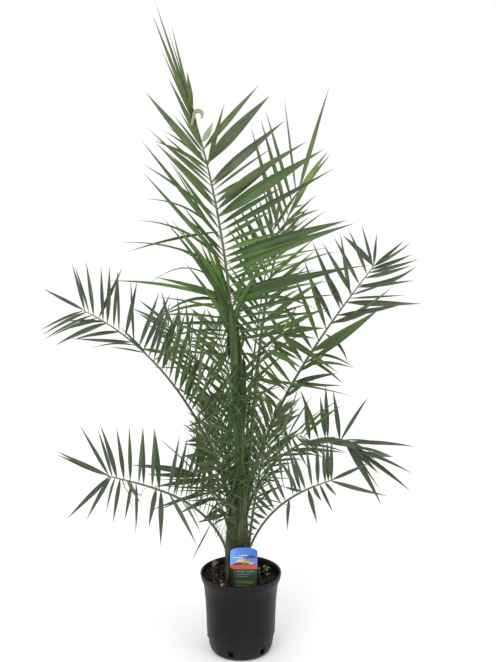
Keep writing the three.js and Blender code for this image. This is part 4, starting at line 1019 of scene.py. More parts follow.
def grow_pot():
    build = Build()
    rows = POT_OUT + POT_IN
    n_out = len(POT_OUT)
    verts, index = [], []
    for i, (r, z) in enumerate(rows):
        if r == 0:
            index.append([len(verts)] * SIDES)
            verts.append((0, 0, z))
            continue
        ring = []
        for j in range(SIDES):
            a = 2 * math.pi * j / SIDES
            wob = 1 + 0.0022 * math.sin(2 * a + 0.6) + 0.0012 * math.sin(5 * a)
            ring.append(len(verts))
            verts.append((r * wob * math.cos(a), r * wob * math.sin(a), z))
        index.append(ring)
    # matching inner rows for the slots
    in_low = n_out + [z for _, z in POT_IN].index(11)
    in_high = n_out + [z for _, z in POT_IN].index(26)
    half = 5.0                                       # half a slot's width in degrees
    open_cols = set()
    for s in SLOT_AT:
        for j in range(SIDES):
            a = 360.0 * (j + 0.5) / SIDES
            if abs((a - s + 180) % 360 - 180) < half:
                open_cols.add(j)
    faces = []
    for i in range(len(rows) - 1):
        for j in range(SIDES):
            k = (j + 1) % SIDES
            a, b, c, d = index[i][j], index[i][k], index[i + 1][k], index[i + 1][j]
            outer_hole = SLOT_LOW <= i < SLOT_HIGH and j in open_cols
            inner_hole = in_high <= i < in_low and j in open_cols
            if outer_hole or inner_hole:
                continue
            face = [a]
            for q in (b, c, d):
                if q not in face:
                    face.append(q)
            if len(face) > 2:
                faces.append(tuple(face))
    # the slots' own walls, from the outer rows to the inner ones
    out_rows = list(range(SLOT_LOW, SLOT_HIGH + 1))
    in_rows = list(range(in_low, in_high - 1, -1))
    for j in open_cols:
        k = (j + 1) % SIDES
        lo_o, hi_o = index[out_rows[0]], index[out_rows[-1]]
        lo_i, hi_i = index[in_rows[0]], index[in_rows[-1]]
        faces.append((lo_o[j], lo_o[k], lo_i[k], lo_i[j]))
        faces.append((hi_o[k], hi_o[j], hi_i[j], hi_i[k]))
        inner_up = [index[i] for i in in_rows]
        outer_down = [index[i] for i in reversed(out_rows)]
        if (j - 1) % SIDES not in open_cols:
            faces.append(tuple([row[j] for row in inner_up] + [row[j] for row in outer_down]))
        if k not in open_cols:
            faces.append(tuple([row[k] for row in outer_down][::-1] + [row[k] for row in inner_up][::-1]))
    vol = 0.0
    V = np.array(verts)
    for f in faces:
        for i in range(1, len(f) - 1):
            vol += np.dot(V[f[0]], np.cross(V[f[i]], V[f[i + 1]]))
    if vol < 0:
        faces = [tuple(reversed(f)) for f in faces]
    build.add(verts, faces, [0] * len(faces))
    # a small hood over each slot
    for s in SLOT_AT:
        ring = []
        for z, out in ((38.2, 0.2), (39.6, 2.4), (43.0, 3.0), (48.5, 0.4)):
            row = []
            for q in range(7):
                a = math.radians(s + (q - 3) * 1.75)
                r = 82.9 + out * math.cos((q - 3) / 3 * 1.45)
                row.append((r * math.cos(a), r * math.sin(a), z))
            for q in range(6, -1, -1):
                a = math.radians(s + (q - 3) * 1.75)
                row.append((81.6 * math.cos(a), 81.6 * math.sin(a), z))
            ring += row
        fs = wind_out(ring, tube_faces(4, 14))
        build.add(ring, fs, [0] * len(fs))
    ob = build.make("pot_shell", [pot_black], angle=40)
    return ob


# ------------------------------------------------------------------ potting mix
def mix_material():
    m, nt, bsdf = material("mix_brown")
    n1 = noise_tex(nt, coords(nt), 95.0, 6.0, 0.7)
    n2 = noise_tex(nt, coords(nt), 30.0, 3.0)
    base = ramp(nt, n1, [(0.32, (0.007, 0.005, 0.004)), (0.52, (0.017, 0.012, 0.009)), (0.70, (0.042, 0.030, 0.022))])
    base = mix(nt, grey(nt, n2, [(0.4, 0.0), (0.7, 0.5)]), base, (0.008, 0.006, 0.005))
    nt.links.new(base, bsdf.inputs["Base Color"])
    nt.links.new(grey(nt, n1, [(0.3, 0.97), (0.7, 0.85)]), bsdf.inputs["Roughness"])
    bsdf.inputs["Specular IOR Level"].default_value = 0.15
    bump(nt, bsdf, n1, 1.0, 0.003)
    return m


def chip_material(name, a, b, scale=180.0):
    m, nt, bsdf = material(name)
    n1 = noise_tex(nt, coords(nt), scale, 4.0, 0.6)
    nt.links.new(ramp(nt, n1, [(0.3, a), (0.7, b)]), bsdf.inputs["Base Color"])
    nt.links.new(grey(nt, n1, [(0.3, 0.92), (0.7, 0.78)]), bsdf.inputs["Roughness"])
    bsdf.inputs["Specular IOR Level"].default_value = 0.2
    bump(nt, bsdf, n1, 0.7, 0.0012)
    return m


mix_mats = [
    mix_material(),
    chip_material("bark_dark", (0.008, 0.005, 0.004), (0.024, 0.016, 0.012)),
    chip_material("bark_brown", (0.022, 0.015, 0.011), (0.056, 0.037, 0.026)),
    chip_material("bark_pale", (0.220, 0.175, 0.125), (0.420, 0.360, 0.280)),
    chip_material("dead_leaf", (0.085, 0.070, 0.058), (0.190, 0.160, 0.135)),
]


def soil_height(x, y):
    r = math.hypot(x, y)
    z = 184.5
    z += 17.0 * math.exp(-(((x + 66) / 28) ** 2 + ((y - 10) / 44) ** 2))      # heaped at the left wall
    z += 6.5 * math.exp(-((r - 36) / 16) ** 2)                                  # against the stem
    z += 3.5 * math.exp(-(((x + 46) / 22) ** 2 + ((y + 45) / 22) ** 2))
    z -= 4.0 * math.exp(-(((x - 55) / 34) ** 2 + ((y + 20) / 40) ** 2))
    z += 2.6 * noise.noise(Vector((x * 0.07, y * 0.07, 1.7))) + 1.7 * noise.noise(Vector((x * 0.19, y * 0.19, 4.2))) + 0.9 * noise.noise(Vector((x * 0.45, y * 0.45, 9.1)))
    return z


def wall_r(z):
    """Inner radius of the pot at height z."""
    rows = sorted((z, r) for r, z in POT_IN)
    return float(np.interp(z, [q[0] for q in rows], [q[1] for q in rows]))


def grow_mix():
    build = Build()
    rings, cols = 38, 120
    verts = [(0, 0, soil_height(0, 0))]
    for i in range(1, rings + 1):
        q = i / rings
        for j in range(cols):
            a = 2 * math.pi * j / cols
            z = soil_height(90 * q * math.cos(a), 90 * q * math.sin(a))
            r = (wall_r(z) - 0.15) * q
            verts.append((r * math.cos(a), r * math.sin(a), z))
    foot = len(verts)
    for zz in (172, 150):
        for j in range(cols):
            a = 2 * math.pi * j / cols
            r = wall_r(zz) - 0.15
            verts.append((r * math.cos(a), r * math.sin(a), zz))
    # down to the drain slots, so earth shows in them
    for zz in (100, 40, 30, 24, 16, 9):
        for j in range(cols):
            a = 2 * math.pi * j / cols
            r = wall_r(zz) - (0.2 if zz > 35 else 8.0)
            verts.append((r * math.cos(a), r * math.sin(a), zz))
    verts.append((0, 0, 9))
    faces = [(0, 1 + j, 1 + (j + 1) % cols) for j in range(cols)]
    total = rings + 8
    for i in range(total - 1):
        for j in range(cols):
            a, b = 1 + i * cols + j, 1 + i * cols + (j + 1) % cols
            faces.append((a, a + cols, b + cols, b))
    last = 1 + (total - 1) * cols
    faces += [(last + (j + 1) % cols, last + j, len(verts) - 1) for j in range(cols)]
    build.add(verts, faces, [0] * len(faces))

    r = random.Random(77)

    def chip(x, y, L, W, H, mat, tilt=0.5, lift=0.0):
        yaw, pitch, roll = r.uniform(0, math.pi), r.gauss(0, tilt), r.gauss(0, tilt)
        z = soil_height(x, y) + H * 0.2 + abs(math.sin(pitch)) * L * 0.3 + lift
        pts = []
        for e, (dx, k) in enumerate(((-0.5, 0.55), (-0.22, 1.0), (0.2, 0.95), (0.5, 0.5))):
            for dy, dz in ((-0.5, -0.35), (-0.42, 0.4), (0.1, 0.5), (0.5, 0.3), (0.45, -0.4), (0.0, -0.5)):
                pts.append([dx * L + r.uniform(-.06, .06) * L, dy * W * k * r.uniform(.8, 1.15), dz * H * k * r.uniform(.8, 1.2)])
        cy, sy, cp, sp, cr, sr = math.cos(yaw), math.sin(yaw), math.cos(pitch), math.sin(pitch), math.cos(roll), math.sin(roll)
        out = []
        for px, py, pz in pts:
            py, pz = py * cr - pz * sr, py * sr + pz * cr
            px, pz = px * cp - pz * sp, px * sp + pz * cp
            px, py = px * cy - py * sy, px * sy + py * cy
            out.append((x + px, y + py, z + pz))
        fs = wind_out(out, tube_faces(4, 6))
        build.add(out, fs, [mat] * len(fs))

    placed = 0
    while placed < 420:
        x, y = r.uniform(-88, 88), r.uniform(-88, 88)
        d = math.hypot(x, y)
        L = r.choice((5, 7, 9, 12, 15, 19)) * r.uniform(0.8, 1.2)
        if d > wall_r(soil_height(x, y)) - 0.5 * L - 2 or d < 39 or (y < -44 and abs(x - 7) < 37 and y > -56):
            continue
        chip(x, y, L, L * r.uniform(0.35, 0.65), L * r.uniform(0.16, 0.34), r.choice((1, 1, 1, 2, 2)))
        placed += 1
    for x, y, L in ((-47, -30, 8), (-42, -38, 7), (-55, -28, 6), (-30, -58, 9), (-24, -66, 7), (-38, -50, 6), (-60, -12, 5), (-66, 4, 6),
                    (-20, -60, 6), (-50, -44, 7), (-34, -64, 7), (-28, -70, 6), (-44, -56, 6), (-16, -72, 5), (-62, -36, 5), (48, -34, 5), (34, -66, 6), (66, 22, 5), (20, 64, 7), (-12, 72, 6), (-44, 52, 7)):
        chip(x + r.uniform(-3, 3), y + r.uniform(-3, 3), L * 1.5, L * 0.7, L * 0.35, 3, 0.35, 1.0)
    # a curled dead leaf end at the back left
    pts = []
    for i in range(9):
        q = i / 8
        c = np.array([-70 + 16 * q, 36 + 20 * q, 199.5 + 9 * math.sin(math.pi * q) - 2 * q])
        for s, face in ACROSS:
            pts.append(c + np.array([0.72, -0.55, 0]) * s * (9.5 * math.sin(math.pi * (0.12 + 0.8 * q))) + np.array([0, 0, 1.0]) * (abs(s) * 5.0 * math.sin(3 * q) + face * 0.7 * (1 - 0.4 * abs(s))))
    fs = wind_out(pts, tube_faces(9, M))
    build.add(pts, fs, [4] * len(fs))
    # loose dry fibres lying on the mix
    for _ in range(70):
        a, d = r.uniform(0, 2 * math.pi), r.uniform(42, 80)
        x, y, w, L = d * math.cos(a), d * math.sin(a), r.uniform(0, 2 * math.pi), r.uniform(12, 34)
        if y < -40 and abs(x - 7) < 42:
            continue
        path = []
        for i in range(6):
            q = i / 5 - 0.5
            px, py = x + L * q * math.cos(w + q), y + L * q * math.sin(w + q)
            k = min(1.0, (wall_r(190) - 3) / max(math.hypot(px, py), 1))
            px, py = px * k, py * k
            path.append(np.array([px, py, soil_height(px, py) + 1.6 + 1.5 * math.cos(4 * q)]))
        fibre(build, path, r.uniform(0.4, 0.7), r.choice((2, 3, 4)))
    return build.make("potting_mix_top", mix_mats, angle=38)


# ------------------------------------------------------------------ label
def label_material(name, a, b, scale=7.0, rough=0.26):
    m, nt, bsdf = material(name)
    n1 = noise_tex(nt, coords(nt, "Object", (1, 1, 0.6)), scale * 4, 2.0)
    nt.links.new(ramp(nt, n1, [(0.35, a), (0.65, b)]), bsdf.inputs["Base Color"])
    nt.links.new(grey(nt, n1, [(0.3, rough), (0.7, rough + 0.08)]), bsdf.inputs["Roughness"])
    bump(nt, bsdf, noise_tex(nt, coords(nt), 300.0), 0.05, 0.0003)
    return m


def blue_material():
    """Deep blue at the top and right, lighter towards the left edge and the foot of the panel."""
    m, nt, bsdf = material("label_blue")
    sep = nt.nodes.new("ShaderNodeSeparateXYZ")
    nt.links.new(coords(nt), sep.inputs["Vector"])
    side = grey(nt, sep.outputs["X"], [(0.0, 0.0), (1.0, 1.0)])
    rng = nt.nodes.new("ShaderNodeMapRange")
    rng.inputs["From Min"].default_value = label_low[0]
    rng.inputs["From Max"].default_value = label_high[0]
    nt.links.new(sep.outputs["X"], rng.inputs["Value"])
    up = nt.nodes.new("ShaderNodeMapRange")
    up.inputs["From Min"].default_value = label_low[2] + 0.05
    up.inputs["From Max"].default_value = label_high[2]
    nt.links.new(sep.outputs["Z"], up.inputs["Value"])
    a = ramp(nt, rng.outputs["Result"], [(0.0, (0.150, 0.400, 0.800)), (0.30, (0.060, 0.200, 0.640)), (1.0, (0.035, 0.110, 0.480))])
    base = mix(nt, grey(nt, up.outputs["Result"], [(0.15, 0.55), (0.75, 0.0)]), a, (0.110, 0.300, 0.720))
    nt.links.new(base, bsdf.inputs["Base Color"])
    nt.links.new(grey(nt, noise_tex(nt, coords(nt), 20.0), [(0.3, 0.24), (0.7, 0.32)]), bsdf.inputs["Roughness"])
    return m


label_mats = [
    blue_material(),
    label_material("label_red", (0.520, 0.040, 0.025), (0.640, 0.060, 0.035)),
    label_material("label_green", (0.014, 0.034, 0.020), (0.034, 0.062, 0.032)),
    label_material("label_pale", (0.560, 0.580, 0.520), (0.700, 0.700, 0.640)),
    label_material("label_dark", (0.020, 0.026, 0.022), (0.050, 0.050, 0.040)),
    label_material("label_sand", (0.480, 0.330, 0.150), (0.640, 0.470, 0.260)),
    label_material("label_leaf", (0.060, 0.110, 0.040), (0.100, 0.150, 0.060)),
    label_material("label_back", (0.440, 0.450, 0.440), (0.520, 0.530, 0.520)),
    label_material("label_sage", (0.100, 0.140, 0.105), (0.150, 0.185, 0.140)),
]
LABEL_X = (label_low[0] + label_high[0]) / 2 / MM
LABEL_W = (label_high[0] - label_low[0]) / 2 / MM
LABEL_TOP = label_high[2] / MM
LABEL_Y = (label_low[1] + label_high[1]) / 2 / MM
LABEL_STEP = 234.0


def label_face(x):
    """How far the card stands forward of its plane at x from its middle: it is a little curved."""
    return LABEL_Y - 0.9 + 1.5 * (x / LABEL_W) ** 2


def grow_label():
    build = Build()
    foot_w, off = 28.5, 3.0

    def edges(z):
        if z < LABEL_STEP - 1:
            return off - foot_w, off + foot_w
        if z < LABEL_STEP + 2:
            k = (z - LABEL_STEP + 1) / 3
            return (off - foot_w) * (1 - k) - LABEL_W * k, (off + foot_w) * (1 - k) + LABEL_W * k
        k = min(max((z - (LABEL_TOP - 15)) / 15, 0), 1)
        w = LABEL_W * math.sqrt(max(1 - 0.985 * k ** 3.2, 0.0))
        return -w, w

    zs = [181, 186, 195, 205, 215, 225, 232.5, 233.5, 236.5, 243] + [243 + (LABEL_TOP - 243) * q for q in (.18, .36, .52, .66, .74, .80, .85, .89, .92, .945, .965, .98, .992, 1)]
    cols = 15
    verts = []
    for z in zs:
        lo, hi = edges(z)
        front, back = [], []
        for j in range(cols):
            x = lo + (hi - lo) * j / (cols - 1)
            front.append((LABEL_X + x, label_face(x) - 0.35, z))
            back.append((LABEL_X + x, label_face(x) + 0.35, z))
        verts += front + back[::-1]
    m = 2 * cols
    faces = wind_out(verts, tube_faces(len(zs), m))
    kinds = []
    for f in faces:
        c = np.mean([verts[i] for i in f], 0)
        flat = len(f) == 4 and max(verts[i][1] for i in f) - label_face(c[0] - LABEL_X) > 0.2
        if flat:
            kinds.append(7)
        elif c[2] > 243:
            kinds.append(0)
        elif c[2] > 233:
            kinds.append(1)
        else:
            kinds.append(2)
    build.add(verts, faces, kinds)

    def patch(points, mat, out=0.28):
        """A thin raised shape on the front: points as (x, z) going round."""
        n = len(points)
        vs = [(LABEL_X + x, label_face(x) - 0.35 - out, z) for x, z in points] + [(LABEL_X + x, label_face(x) - 0.2, z) for x, z in points]
        fs = [tuple(range(n)), tuple(range(2 * n - 1, n - 1, -1))] + [(i, (i + 1) % n, (i + 1) % n + n, i + n) for i in range(n)]
        fs = wind_out(vs, fs)
        build.add(vs, fs, [mat] * len(fs))

    def bar(x0, x1, z0, z1, mat, out=0.28):
        k = max(1, int(abs(x1 - x0) / 6))
        low = [(x0 + (x1 - x0) * i / k, z0) for i in range(k + 1)]
        high = [(x1 - (x1 - x0) * i / k, z1) for i in range(k + 1)]
        patch(low + high, mat, out)

    def dune(x0, x1, z0, h, mat, out, lean=0.5):
        k = 12
        low = [(x0 + (x1 - x0) * i / k, z0) for i in range(k + 1)]
        high = []
        for i in range(k - 1, 0, -1):
            q = i / k
            p = q ** (0.7 if lean < 0.5 else 1.3)
            high.append((x0 + (x1 - x0) * q, z0 + h * math.sin(math.pi * p)))
        patch(low + high, mat, out)

    # plain hills and bars in the picture panel
    dune(-31.5, 9, 243.4, 8.5, 4, 0.22)
    dune(-6, 31.8, 243.4, 13.5, 6, 0.26, 0.3)
    dune(-22, 18, 251, 9.5, 5, 0.30, 0.3)
    dune(2, 31, 262, 8.0, 4, 0.34)
    bar(-24, -2, 262.5, 264.6, 3, 0.22)
    bar(-12, 8, 268.4, 270.0, 3, 0.22)
    bar(12, 24, 246.5, 251, 5, 0.36)
    # plain bars on the lower panel
    bar(off - 20, off - 1, 225.5, 229.0, 8)
    bar(off + 4, off + 21, 225.5, 229.0, 8)
    bar(off - 20, off + 15, 219.0, 221.2, 8)
    bar(off - 20, off + 6, 213.6, 215.4, 8)
    bar(off - 21, off + 21, 196.0, 202.5, 6)
    bar(off - 21, off + 4, 188.5, 192.0, 6)
    return build.make("label_card", label_mats, smooth=False)


# ------------------------------------------------------------------ weed seedling
def weed_material():
    m, nt, bsdf = material("weed_green")
    n1 = noise_tex(nt, coords(nt), 120.0, 2.0)
    nt.links.new(ramp(nt, n1, [(0.3, (0.060, 0.150, 0.030)), (0.7, (0.130, 0.270, 0.055))]), bsdf.inputs["Base Color"])
    nt.links.new(grey(nt, n1, [(0.3, 0.5), (0.7, 0.6)]), bsdf.inputs["Roughness"])
    bump(nt, bsdf, n1, 0.3, 0.0005)
    return m


def grow_weed():
    build = Build()
    r = random.Random(5)
    for cx, cy, count, size in ((57, 40, 7, 12), (63, 20, 4, 8), (48, 30, 3, 8)):
        z0 = soil_height(cx, cy) - 1
        for i in range(count):
            a = 2 * math.pi * i / count + r.uniform(-.3, .3)
            L = size * r.uniform(0.8, 1.2)
            foot = np.array([cx, cy, z0 + 2.0])
            mid = foot + np.array([math.cos(a) * L * 0.55, math.sin(a) * L * 0.55, L * r.uniform(0.5, 0.9)])
            tip = mid + np.array([math.cos(a) * L * 0.8, math.sin(a) * L * 0.8, -L * 0.1])
            fibre(build, [foot, foot * 0.5 + mid * 0.5 + np.array([0, 0, 1.0]), mid], 0.5, 0)
            leaflet(build, mid, tip, np.array([-math.sin(a), math.cos(a), 0]), np.array([0, 0, 1.0]), L * 0.62, (0, 0), bow=0.1, fold=(20, 12, 10), thick=0.7)
    return build.make("weed_seedling", [weed_material()])


# ------------------------------------------------------------------ curled and dry leaflets
def ribbon(build, path, half, mat, thick=0.8, cup=0.25):
    """A blade along a path of (point, width direction, share of the width)."""
    pts = [np.asarray(p, float) for p, _, _ in path]
    verts, uvs = [], []
    for i, (_, w, k) in enumerate(path):
        d = unit(pts[min(i + 1, len(pts) - 1)] - pts[max(i - 1, 0)])
        w = np.asarray(w, float)
        w = unit(w - d * np.dot(w, d))
        n = np.cross(d, w)
        for s, face in ACROSS:
            a = abs(s)
            verts.append(pts[i] + w * (s * half * k) + n * (a * half * k * cup + face * thick * 0.5 * (1 - 0.45 * a)))
            uvs.append((0.12 + 0.4 * i / len(pts), 0.5 + 0.5 * s))
    faces = wind_out(verts, tube_faces(len(path), M))
    build.add(verts, faces, [mat] * len(faces), uvs)


def rolled_leaflet(build, name, t, out, away, loop, half, mat):
    """Crosses the rib from its far side, runs out and away, then rolls over into a loop."""
    T, N, B = axes(FRONDS[name], t)
    P = along(name, t)
    path = []
    centre = P + B * out + T * away + N * 7
    start = centre + (B * math.cos(2.5) + T * math.sin(2.5)) * loop
    for i in range(23):
        q = i / 22
        if q < 0.34:
            k = q / 0.34
            c = (P - B * 15 - T * 2 + N * 3) * (1 - k) + start * k + N * 5 * math.sin(math.pi * k)
            w = T * 0.75 - B * 0.45 + N * 0.45
        else:
            a = 2.5 - 3.7 * (q - 0.34) / 0.66
            c = centre + (B * math.cos(a) + T * math.sin(a)) * loop + N * 6 * (q - 0.34)
            w = (B * math.cos(a) + T * math.sin(a)) * 0.8 + N * 0.5
        path.append((c, w, 0.30 + 0.70 * math.sin(math.pi * min(1.0, q * 1.02)) ** 0.8))
    ribbon(build, path, half, mat)


def dry_leaflet(build, name, t, points, half, mat):
    """A shrivelled leaflet: points as (to the plus side, along the rib, out of its upper side)."""
    T, N, B = axes(FRONDS[name], t)
    P = along(name, t)
    path = []
    for i, (b, a, n) in enumerate(points):
        k = i / (len(points) - 1)
        path.append((P + B * b + T * a + N * n, N * 0.6 + T * 0.4, 1.0 - 0.8 * k))
    ribbon(build, path, half, mat, 0.7, 0.6)


# ------------------------------------------------------------------ putting it together
def fronds_piece(name, members, extra=None):
    build = Build()
    for f in members:
        grow_leaflets(f, build)
    if extra:
        extra(build)
    ob = build.make(name, leaf_mats)
    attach(ob, "root")
    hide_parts(*[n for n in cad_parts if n[:8] in members and "blade" in n])
    return ob


def upper_extras(build):
    rolled_leaflet(build, "frond_01", 0.962, 8, 19, 10.0, 5.6, PALE)
    T, N, B = axes(FRONDS["frond_01"], 0.925)
    P = along("frond_01", 0.925)
    leaflet(build, P + B * 2 + N * 2, P + B * 36 + T * 38 + N * 14, T * 0.4 - B * 0.5 + N * 0.2, N, 15.5, (PALE, PALE), bow=-0.06, fold=(20, 12, 14))


def level_leaflets(build, table):
    """Leaflets from the column that reach out level to either side."""
    for z, tip, width, paint, bow in table:
        side = 1 if tip[0] > 0 else -1
        k = PAINTS.index(paint)
        leaflet(build, core_centre(z) + np.array([6 * side, -9, 0]), np.array(tip), np.array([0, -0.25, 1.0]), np.array([0, -1.0, 0.3]),
                width, (2 * k, 2 * k + 1), bow=bow, thick=0.9)


# height on the column, tip, width, paint, bow of the low ones
LOW_LEAFLETS = [
    (446, (-209.5, -45.0, 458.4), 7.5, "ash", 0.02), (431, (-192.8, -45.0, 445.0), 7.5, "mid", -0.02),
    (414, (-167.7, -45.0, 430.1), 7.0, "ash", 0.03), (396, (-145.5, -45.0, 403.4), 7.5, "mid", 0.03),
]


def lower_extras(build):
    level_leaflets(build, LOW_LEAFLETS)
    for name in ("frond_05", "frond_06", "frond_07", "frond_10", "frond_11", "frond_12", "frond_16", "frond_17", "frond_18"):
        grow_low_leaflets(name, build, 5, 100)
    dry_leaflet(build, "frond_05", 0.90, [(0, 0, 0), (-9, -10, 2), (-22, -16, 4), (-27, -30, 6), (-16, -34, 7), (-8, -46, 7)], 2.6, 2 * PAINTS.index("grey") + 1)
    dry_leaflet(build, "frond_05", 0.93, [(0, 0, 0), (-14, -4, 2), (-27, -14, 3), (-44, -20, 2), (-58, -30, 0)], 2.2, 2 * PAINTS.index("grey"))


# height on the column, tip, width, paint, bow of the level leaflets
LEVEL_LEAFLETS = [
    (702, (267.1, -42.6, 665.8), 9.0, "mid", 0.03), (835, (-169.0, -60.0, 844.1), 11.0, "deep", 0.02),
    (806, (-184.1, -70.0, 862.7), 8.5, "mid", -0.05), (776, (-149.4, -50.0, 803.9), 9.0, "mid", 0.03),
    (720, (-215.3, -80.0, 744.5), 6.5, "deep", 0.02), (752, (-215.9, -90.0, 789.7), 7.0, "mid", 0.03),
    (757, (-145.4, -40.0, 799.1), 8.0, "deep", -0.03),
]


def middle_extras(build):
    for name in ("frond_03", "frond_04", "frond_08", "frond_09", "frond_14", "frond_15"):
        grow_low_leaflets(name, build, 8, 120)
    grow_crossing_leaflets(build, 66, 402)
    level_leaflets(build, LEVEL_LEAFLETS)


fronds_piece("leaflets_upper", ["frond_01", "frond_02", "frond_13"], upper_extras)
fronds_piece("leaflets_middle", ["frond_03", "frond_04", "frond_08", "frond_09", "frond_14", "frond_15"], middle_extras)
fronds_piece("leaflets_lower", ["frond_05", "frond_06", "frond_07", "frond_10", "frond_11", "frond_12", "frond_16", "frond_17", "frond_18"], lower_extras)

build = Build()
for name in FRONDS:
    mat = 0 if name in ("frond_01", "frond_02", "frond_08", "frond_09", "frond_13") else 1
    grow_rib(name, build, mat)
    grow_spines(name, build, 2)
stalks = build.make("stalks_and_ribs", stalk_mats, angle=50)
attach(stalks, "root")
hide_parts(*[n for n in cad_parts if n.endswith("_stalk")])

fibre_mats = [
    fibre_material("fibre_brown", (0.014, 0.010, 0.007), (0.066, 0.045, 0.030)),
    fibre_material("base_olive", (0.022, 0.032, 0.011), (0.064, 0.082, 0.028), 40.0),
    fibre_material("fibre_tan", (0.120, 0.085, 0.050), (0.300, 0.225, 0.140)),
    core_material("stem_core", (0.013, 0.010, 0.007), (0.048, 0.034, 0.022), (0.022, 0.042, 0.010), (0.052, 0.086, 0.022), 0.290, 0.365),
    stalk_material("shoot_green", (0.110, 0.140, 0.050), (0.215, 0.240, 0.110)),
]
build = Build()
core_mesh(build, 176, 386, 1.7, 9, 3, 2.0)
low_fronds = [n for n in FRONDS if along(n, LEAVE[n])[2] < 430]
for name in low_fronds:
    leaf_base(build, name, 105, 62, 1 if along(name, LEAVE[name])[2] > 330 else 0, 3.4)
grow_fibres(build, 620, 186, 368, [0, 0, 2, 0, 1], 31)
r = random.Random(91)
for _ in range(64):
    z, a = r.uniform(285, 372), r.uniform(0, 2 * math.pi)
    L, lean, rise = r.uniform(38, 84), r.choice((-1, 1)) * r.uniform(0.5, 1.3), r.uniform(0.1, 0.9)
    path = []
    for i in range(9):
        q = i / 8
        zz = z + L * q * math.sin(rise)
        aa = a + lean * q * L * math.cos(rise) / 34.0
        c = core_centre(zz)
        R = look_up(SKIN, zz) + 1.0 + r.uniform(0.9, 1.0) * 13.0 * q * q + 2.0 * math.sin(2.2 * q)
        path.append(np.array([c[0] + R * math.cos(aa), c[1] + R * math.sin(aa), zz]))
    fibre(build, path, r.uniform(0.5, 0.95), r.choice((4, 4, 2)))
strip = []
for i in range(12):                     # an old stalk foot standing up beside the label
    q = i / 11
    z = 187 + 140 * q
    strip.append((np.array([-31.0 + 4.0 * q + 2.0 * math.sin(3 * q), -33.0 + 15.0 * q * q, z]), np.array([0.93, 0.37, 0.0]), 0.75 + 0.3 * math.sin(math.pi * q)))
ribbon(build, strip, 7.0, 1, 3.0, 0.35)
stem = build.make("stem_fibre_mass", fibre_mats, angle=45)
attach(stem, "root")
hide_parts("stem")

# the column's greens are darker than its own colour: painted shade of the dense centre of the plant
column_mats = [
    core_material("column_core_shaded", (0.020, 0.030, 0.009), (0.048, 0.062, 0.018), (0.016, 0.040, 0.006), (0.042, 0.084, 0.010), 0.37, 0.47),
    stalk_material("base_green", (0.034, 0.070, 0.010), (0.082, 0.142, 0.028)),
]
build = Build()
core_mesh(build, 374, 880, 0.8, 7, 0, 5.0)
for name in FRONDS:
    if name not in low_fronds:
        leaf_base(build, name, 150, 48, 1, 3.4)
grow_fibres(build, 90, 380, 470, [0], 44)
for turn_at, z0, z1, w0, w1 in ((-100, 735, 868, 9.5, 2.0), (150, 748, 850, 8.5, 1.6), (28, 752, 858, 8.0, 1.6)):
    # the folded sheath the youngest fronds rise out of
    path = []
    for i in range(11):
        q = i / 10
        z = z0 + (z1 - z0) * q
        c = core_centre(z)
        R = look_up(SKIN, z) * (1 - 0.3 * q) + 0.6 + 6.5 * q * q
        a = math.radians(turn_at)
        path.append((np.array([c[0] + R * math.cos(a), c[1] + R * math.sin(a), z]), np.array([-math.sin(a), math.cos(a), 0.0]), (w0 + (w1 - w0) * q ** 1.6) / w0))
    ribbon(build, path, w0, 1, 1.4, -0.45)
for x, y, z0, z1, w in ((14, -6, 560, 772, 6.0), (20, 4, 590, 752, 5.0), (10, 10, 600, 790, 6.0), (-9, 8, 590, 760, 5.0), (23, -2, 640, 742, 4.4)):
    # spears and old leaf sheaths standing close against the column
    path = []
    for i in range(14):
        q = i / 13
        z = z0 + (z1 - z0) * q
        c = core_centre(z)
        path.append((np.array([c[0] + x * (0.62 + 0.38 * q), c[1] + y, z]), np.array([1.0, -0.25 + 0.3 * q, 0.0]), 0.25 + 0.75 * math.sin(math.pi * (0.12 + 0.86 * q)) ** 0.8))
    ribbon(build, path, w, 0, 2.0, 0.3)
column = build.make("stalk_column_ribbed", column_mats, angle=45)
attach(column, "root")
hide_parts("stalk_column")

pot = grow_pot()
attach(pot, "root")
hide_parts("pot")

soil = grow_mix()
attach(soil, "root")
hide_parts("potting_mix")

card = grow_label()
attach(card, "root")
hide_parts("plant_label")

weed = grow_weed()
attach(weed, "root")

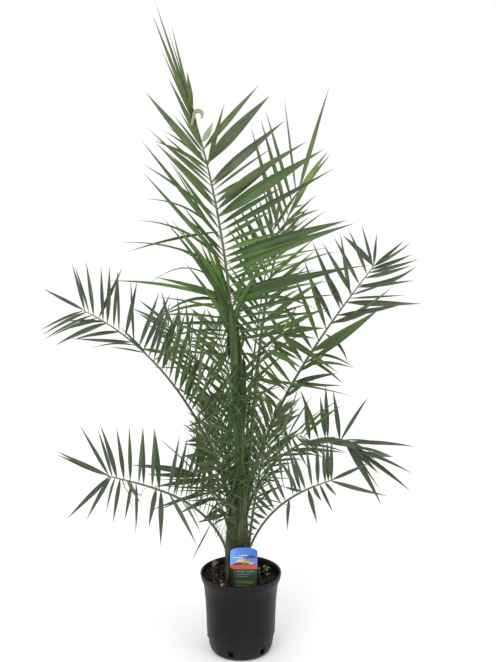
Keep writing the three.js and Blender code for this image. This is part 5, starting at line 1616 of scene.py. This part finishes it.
# ------------------------------------------------------------------ floor, light, camera
# a level round floor that sweeps up into a low wall far away on every side
rows = [(0.0, 0.0), (2.0, 0.0), (6.0, 0.0), (11.0, 0.0)]
rows += [(11.0 + 3.0 * math.sin(q * math.pi / 20), 3.0 - 3.0 * math.cos(q * math.pi / 20)) for q in range(1, 11)] + [(14.0, 4.2)]
TURNS = 72
points = [(0.0, 0.0, -0.0008)] + [(r * math.cos(2 * math.pi * j / TURNS), r * math.sin(2 * math.pi * j / TURNS), z - 0.0008) for r, z in rows[1:] for j in range(TURNS)]
around = [(0, 1 + j, 1 + (j + 1) % TURNS) for j in range(TURNS)]
around += [(1 + i * TURNS + j, 1 + (i + 1) * TURNS + j, 1 + (i + 1) * TURNS + (j + 1) % TURNS, 1 + i * TURNS + (j + 1) % TURNS)
           for i in range(len(rows) - 2) for j in range(TURNS)]
me = bpy.data.meshes.new("floor")
me.from_pydata(points, [], around)
me.polygons.foreach_set("use_smooth", [True] * len(around))
floor = bpy.data.objects.new("floor", me)
bpy.context.scene.collection.objects.link(floor)
fm, fnt, fb = material("floor_pale")
fb.inputs["Base Color"].default_value = (0.96, 0.96, 0.96, 1)
fb.inputs["Roughness"].default_value = 0.95
fb.inputs["Specular IOR Level"].default_value = 0.0
me.materials.append(fm)

world = bpy.data.worlds.new("studio")
world.use_nodes = True
bg = world.node_tree.nodes["Background"]
bg.inputs["Color"].default_value = (1.0, 1.0, 1.0, 1)
bg.inputs["Strength"].default_value = 1.05
bpy.context.scene.world = world


def area(name, place, aim, size, power):
    light = bpy.data.lights.new(name, "AREA")
    light.shape = "SQUARE"
    light.size = size
    light.energy = power
    ob = bpy.data.objects.new(name, light)
    ob.location = place
    ob.rotation_euler = (Vector(aim) - Vector(place)).to_track_quat("-Z", "Y").to_euler()
    bpy.context.scene.collection.objects.link(ob)
    return ob


area("key", (-1.3, -3.2, 3.0), (0, 0, 0.8), 1.6, 50)
area("fill", (2.4, -2.4, 1.8), (0, 0, 0.8), 2.0, 20)

camera = bpy.data.cameras.new("camera")
camera.lens = 64.26
camera.sensor_width = 36.0
camera.clip_start, camera.clip_end = 0.05, 100
view = bpy.data.objects.new("camera", camera)
view.location = (0.01769, -2.72005, 1.42944)
view.rotation_euler = (math.radians(77.25), 0, 0)
bpy.context.scene.collection.objects.link(view)
bpy.context.scene.camera = view
bpy.context.scene.view_settings.view_transform = "Standard"
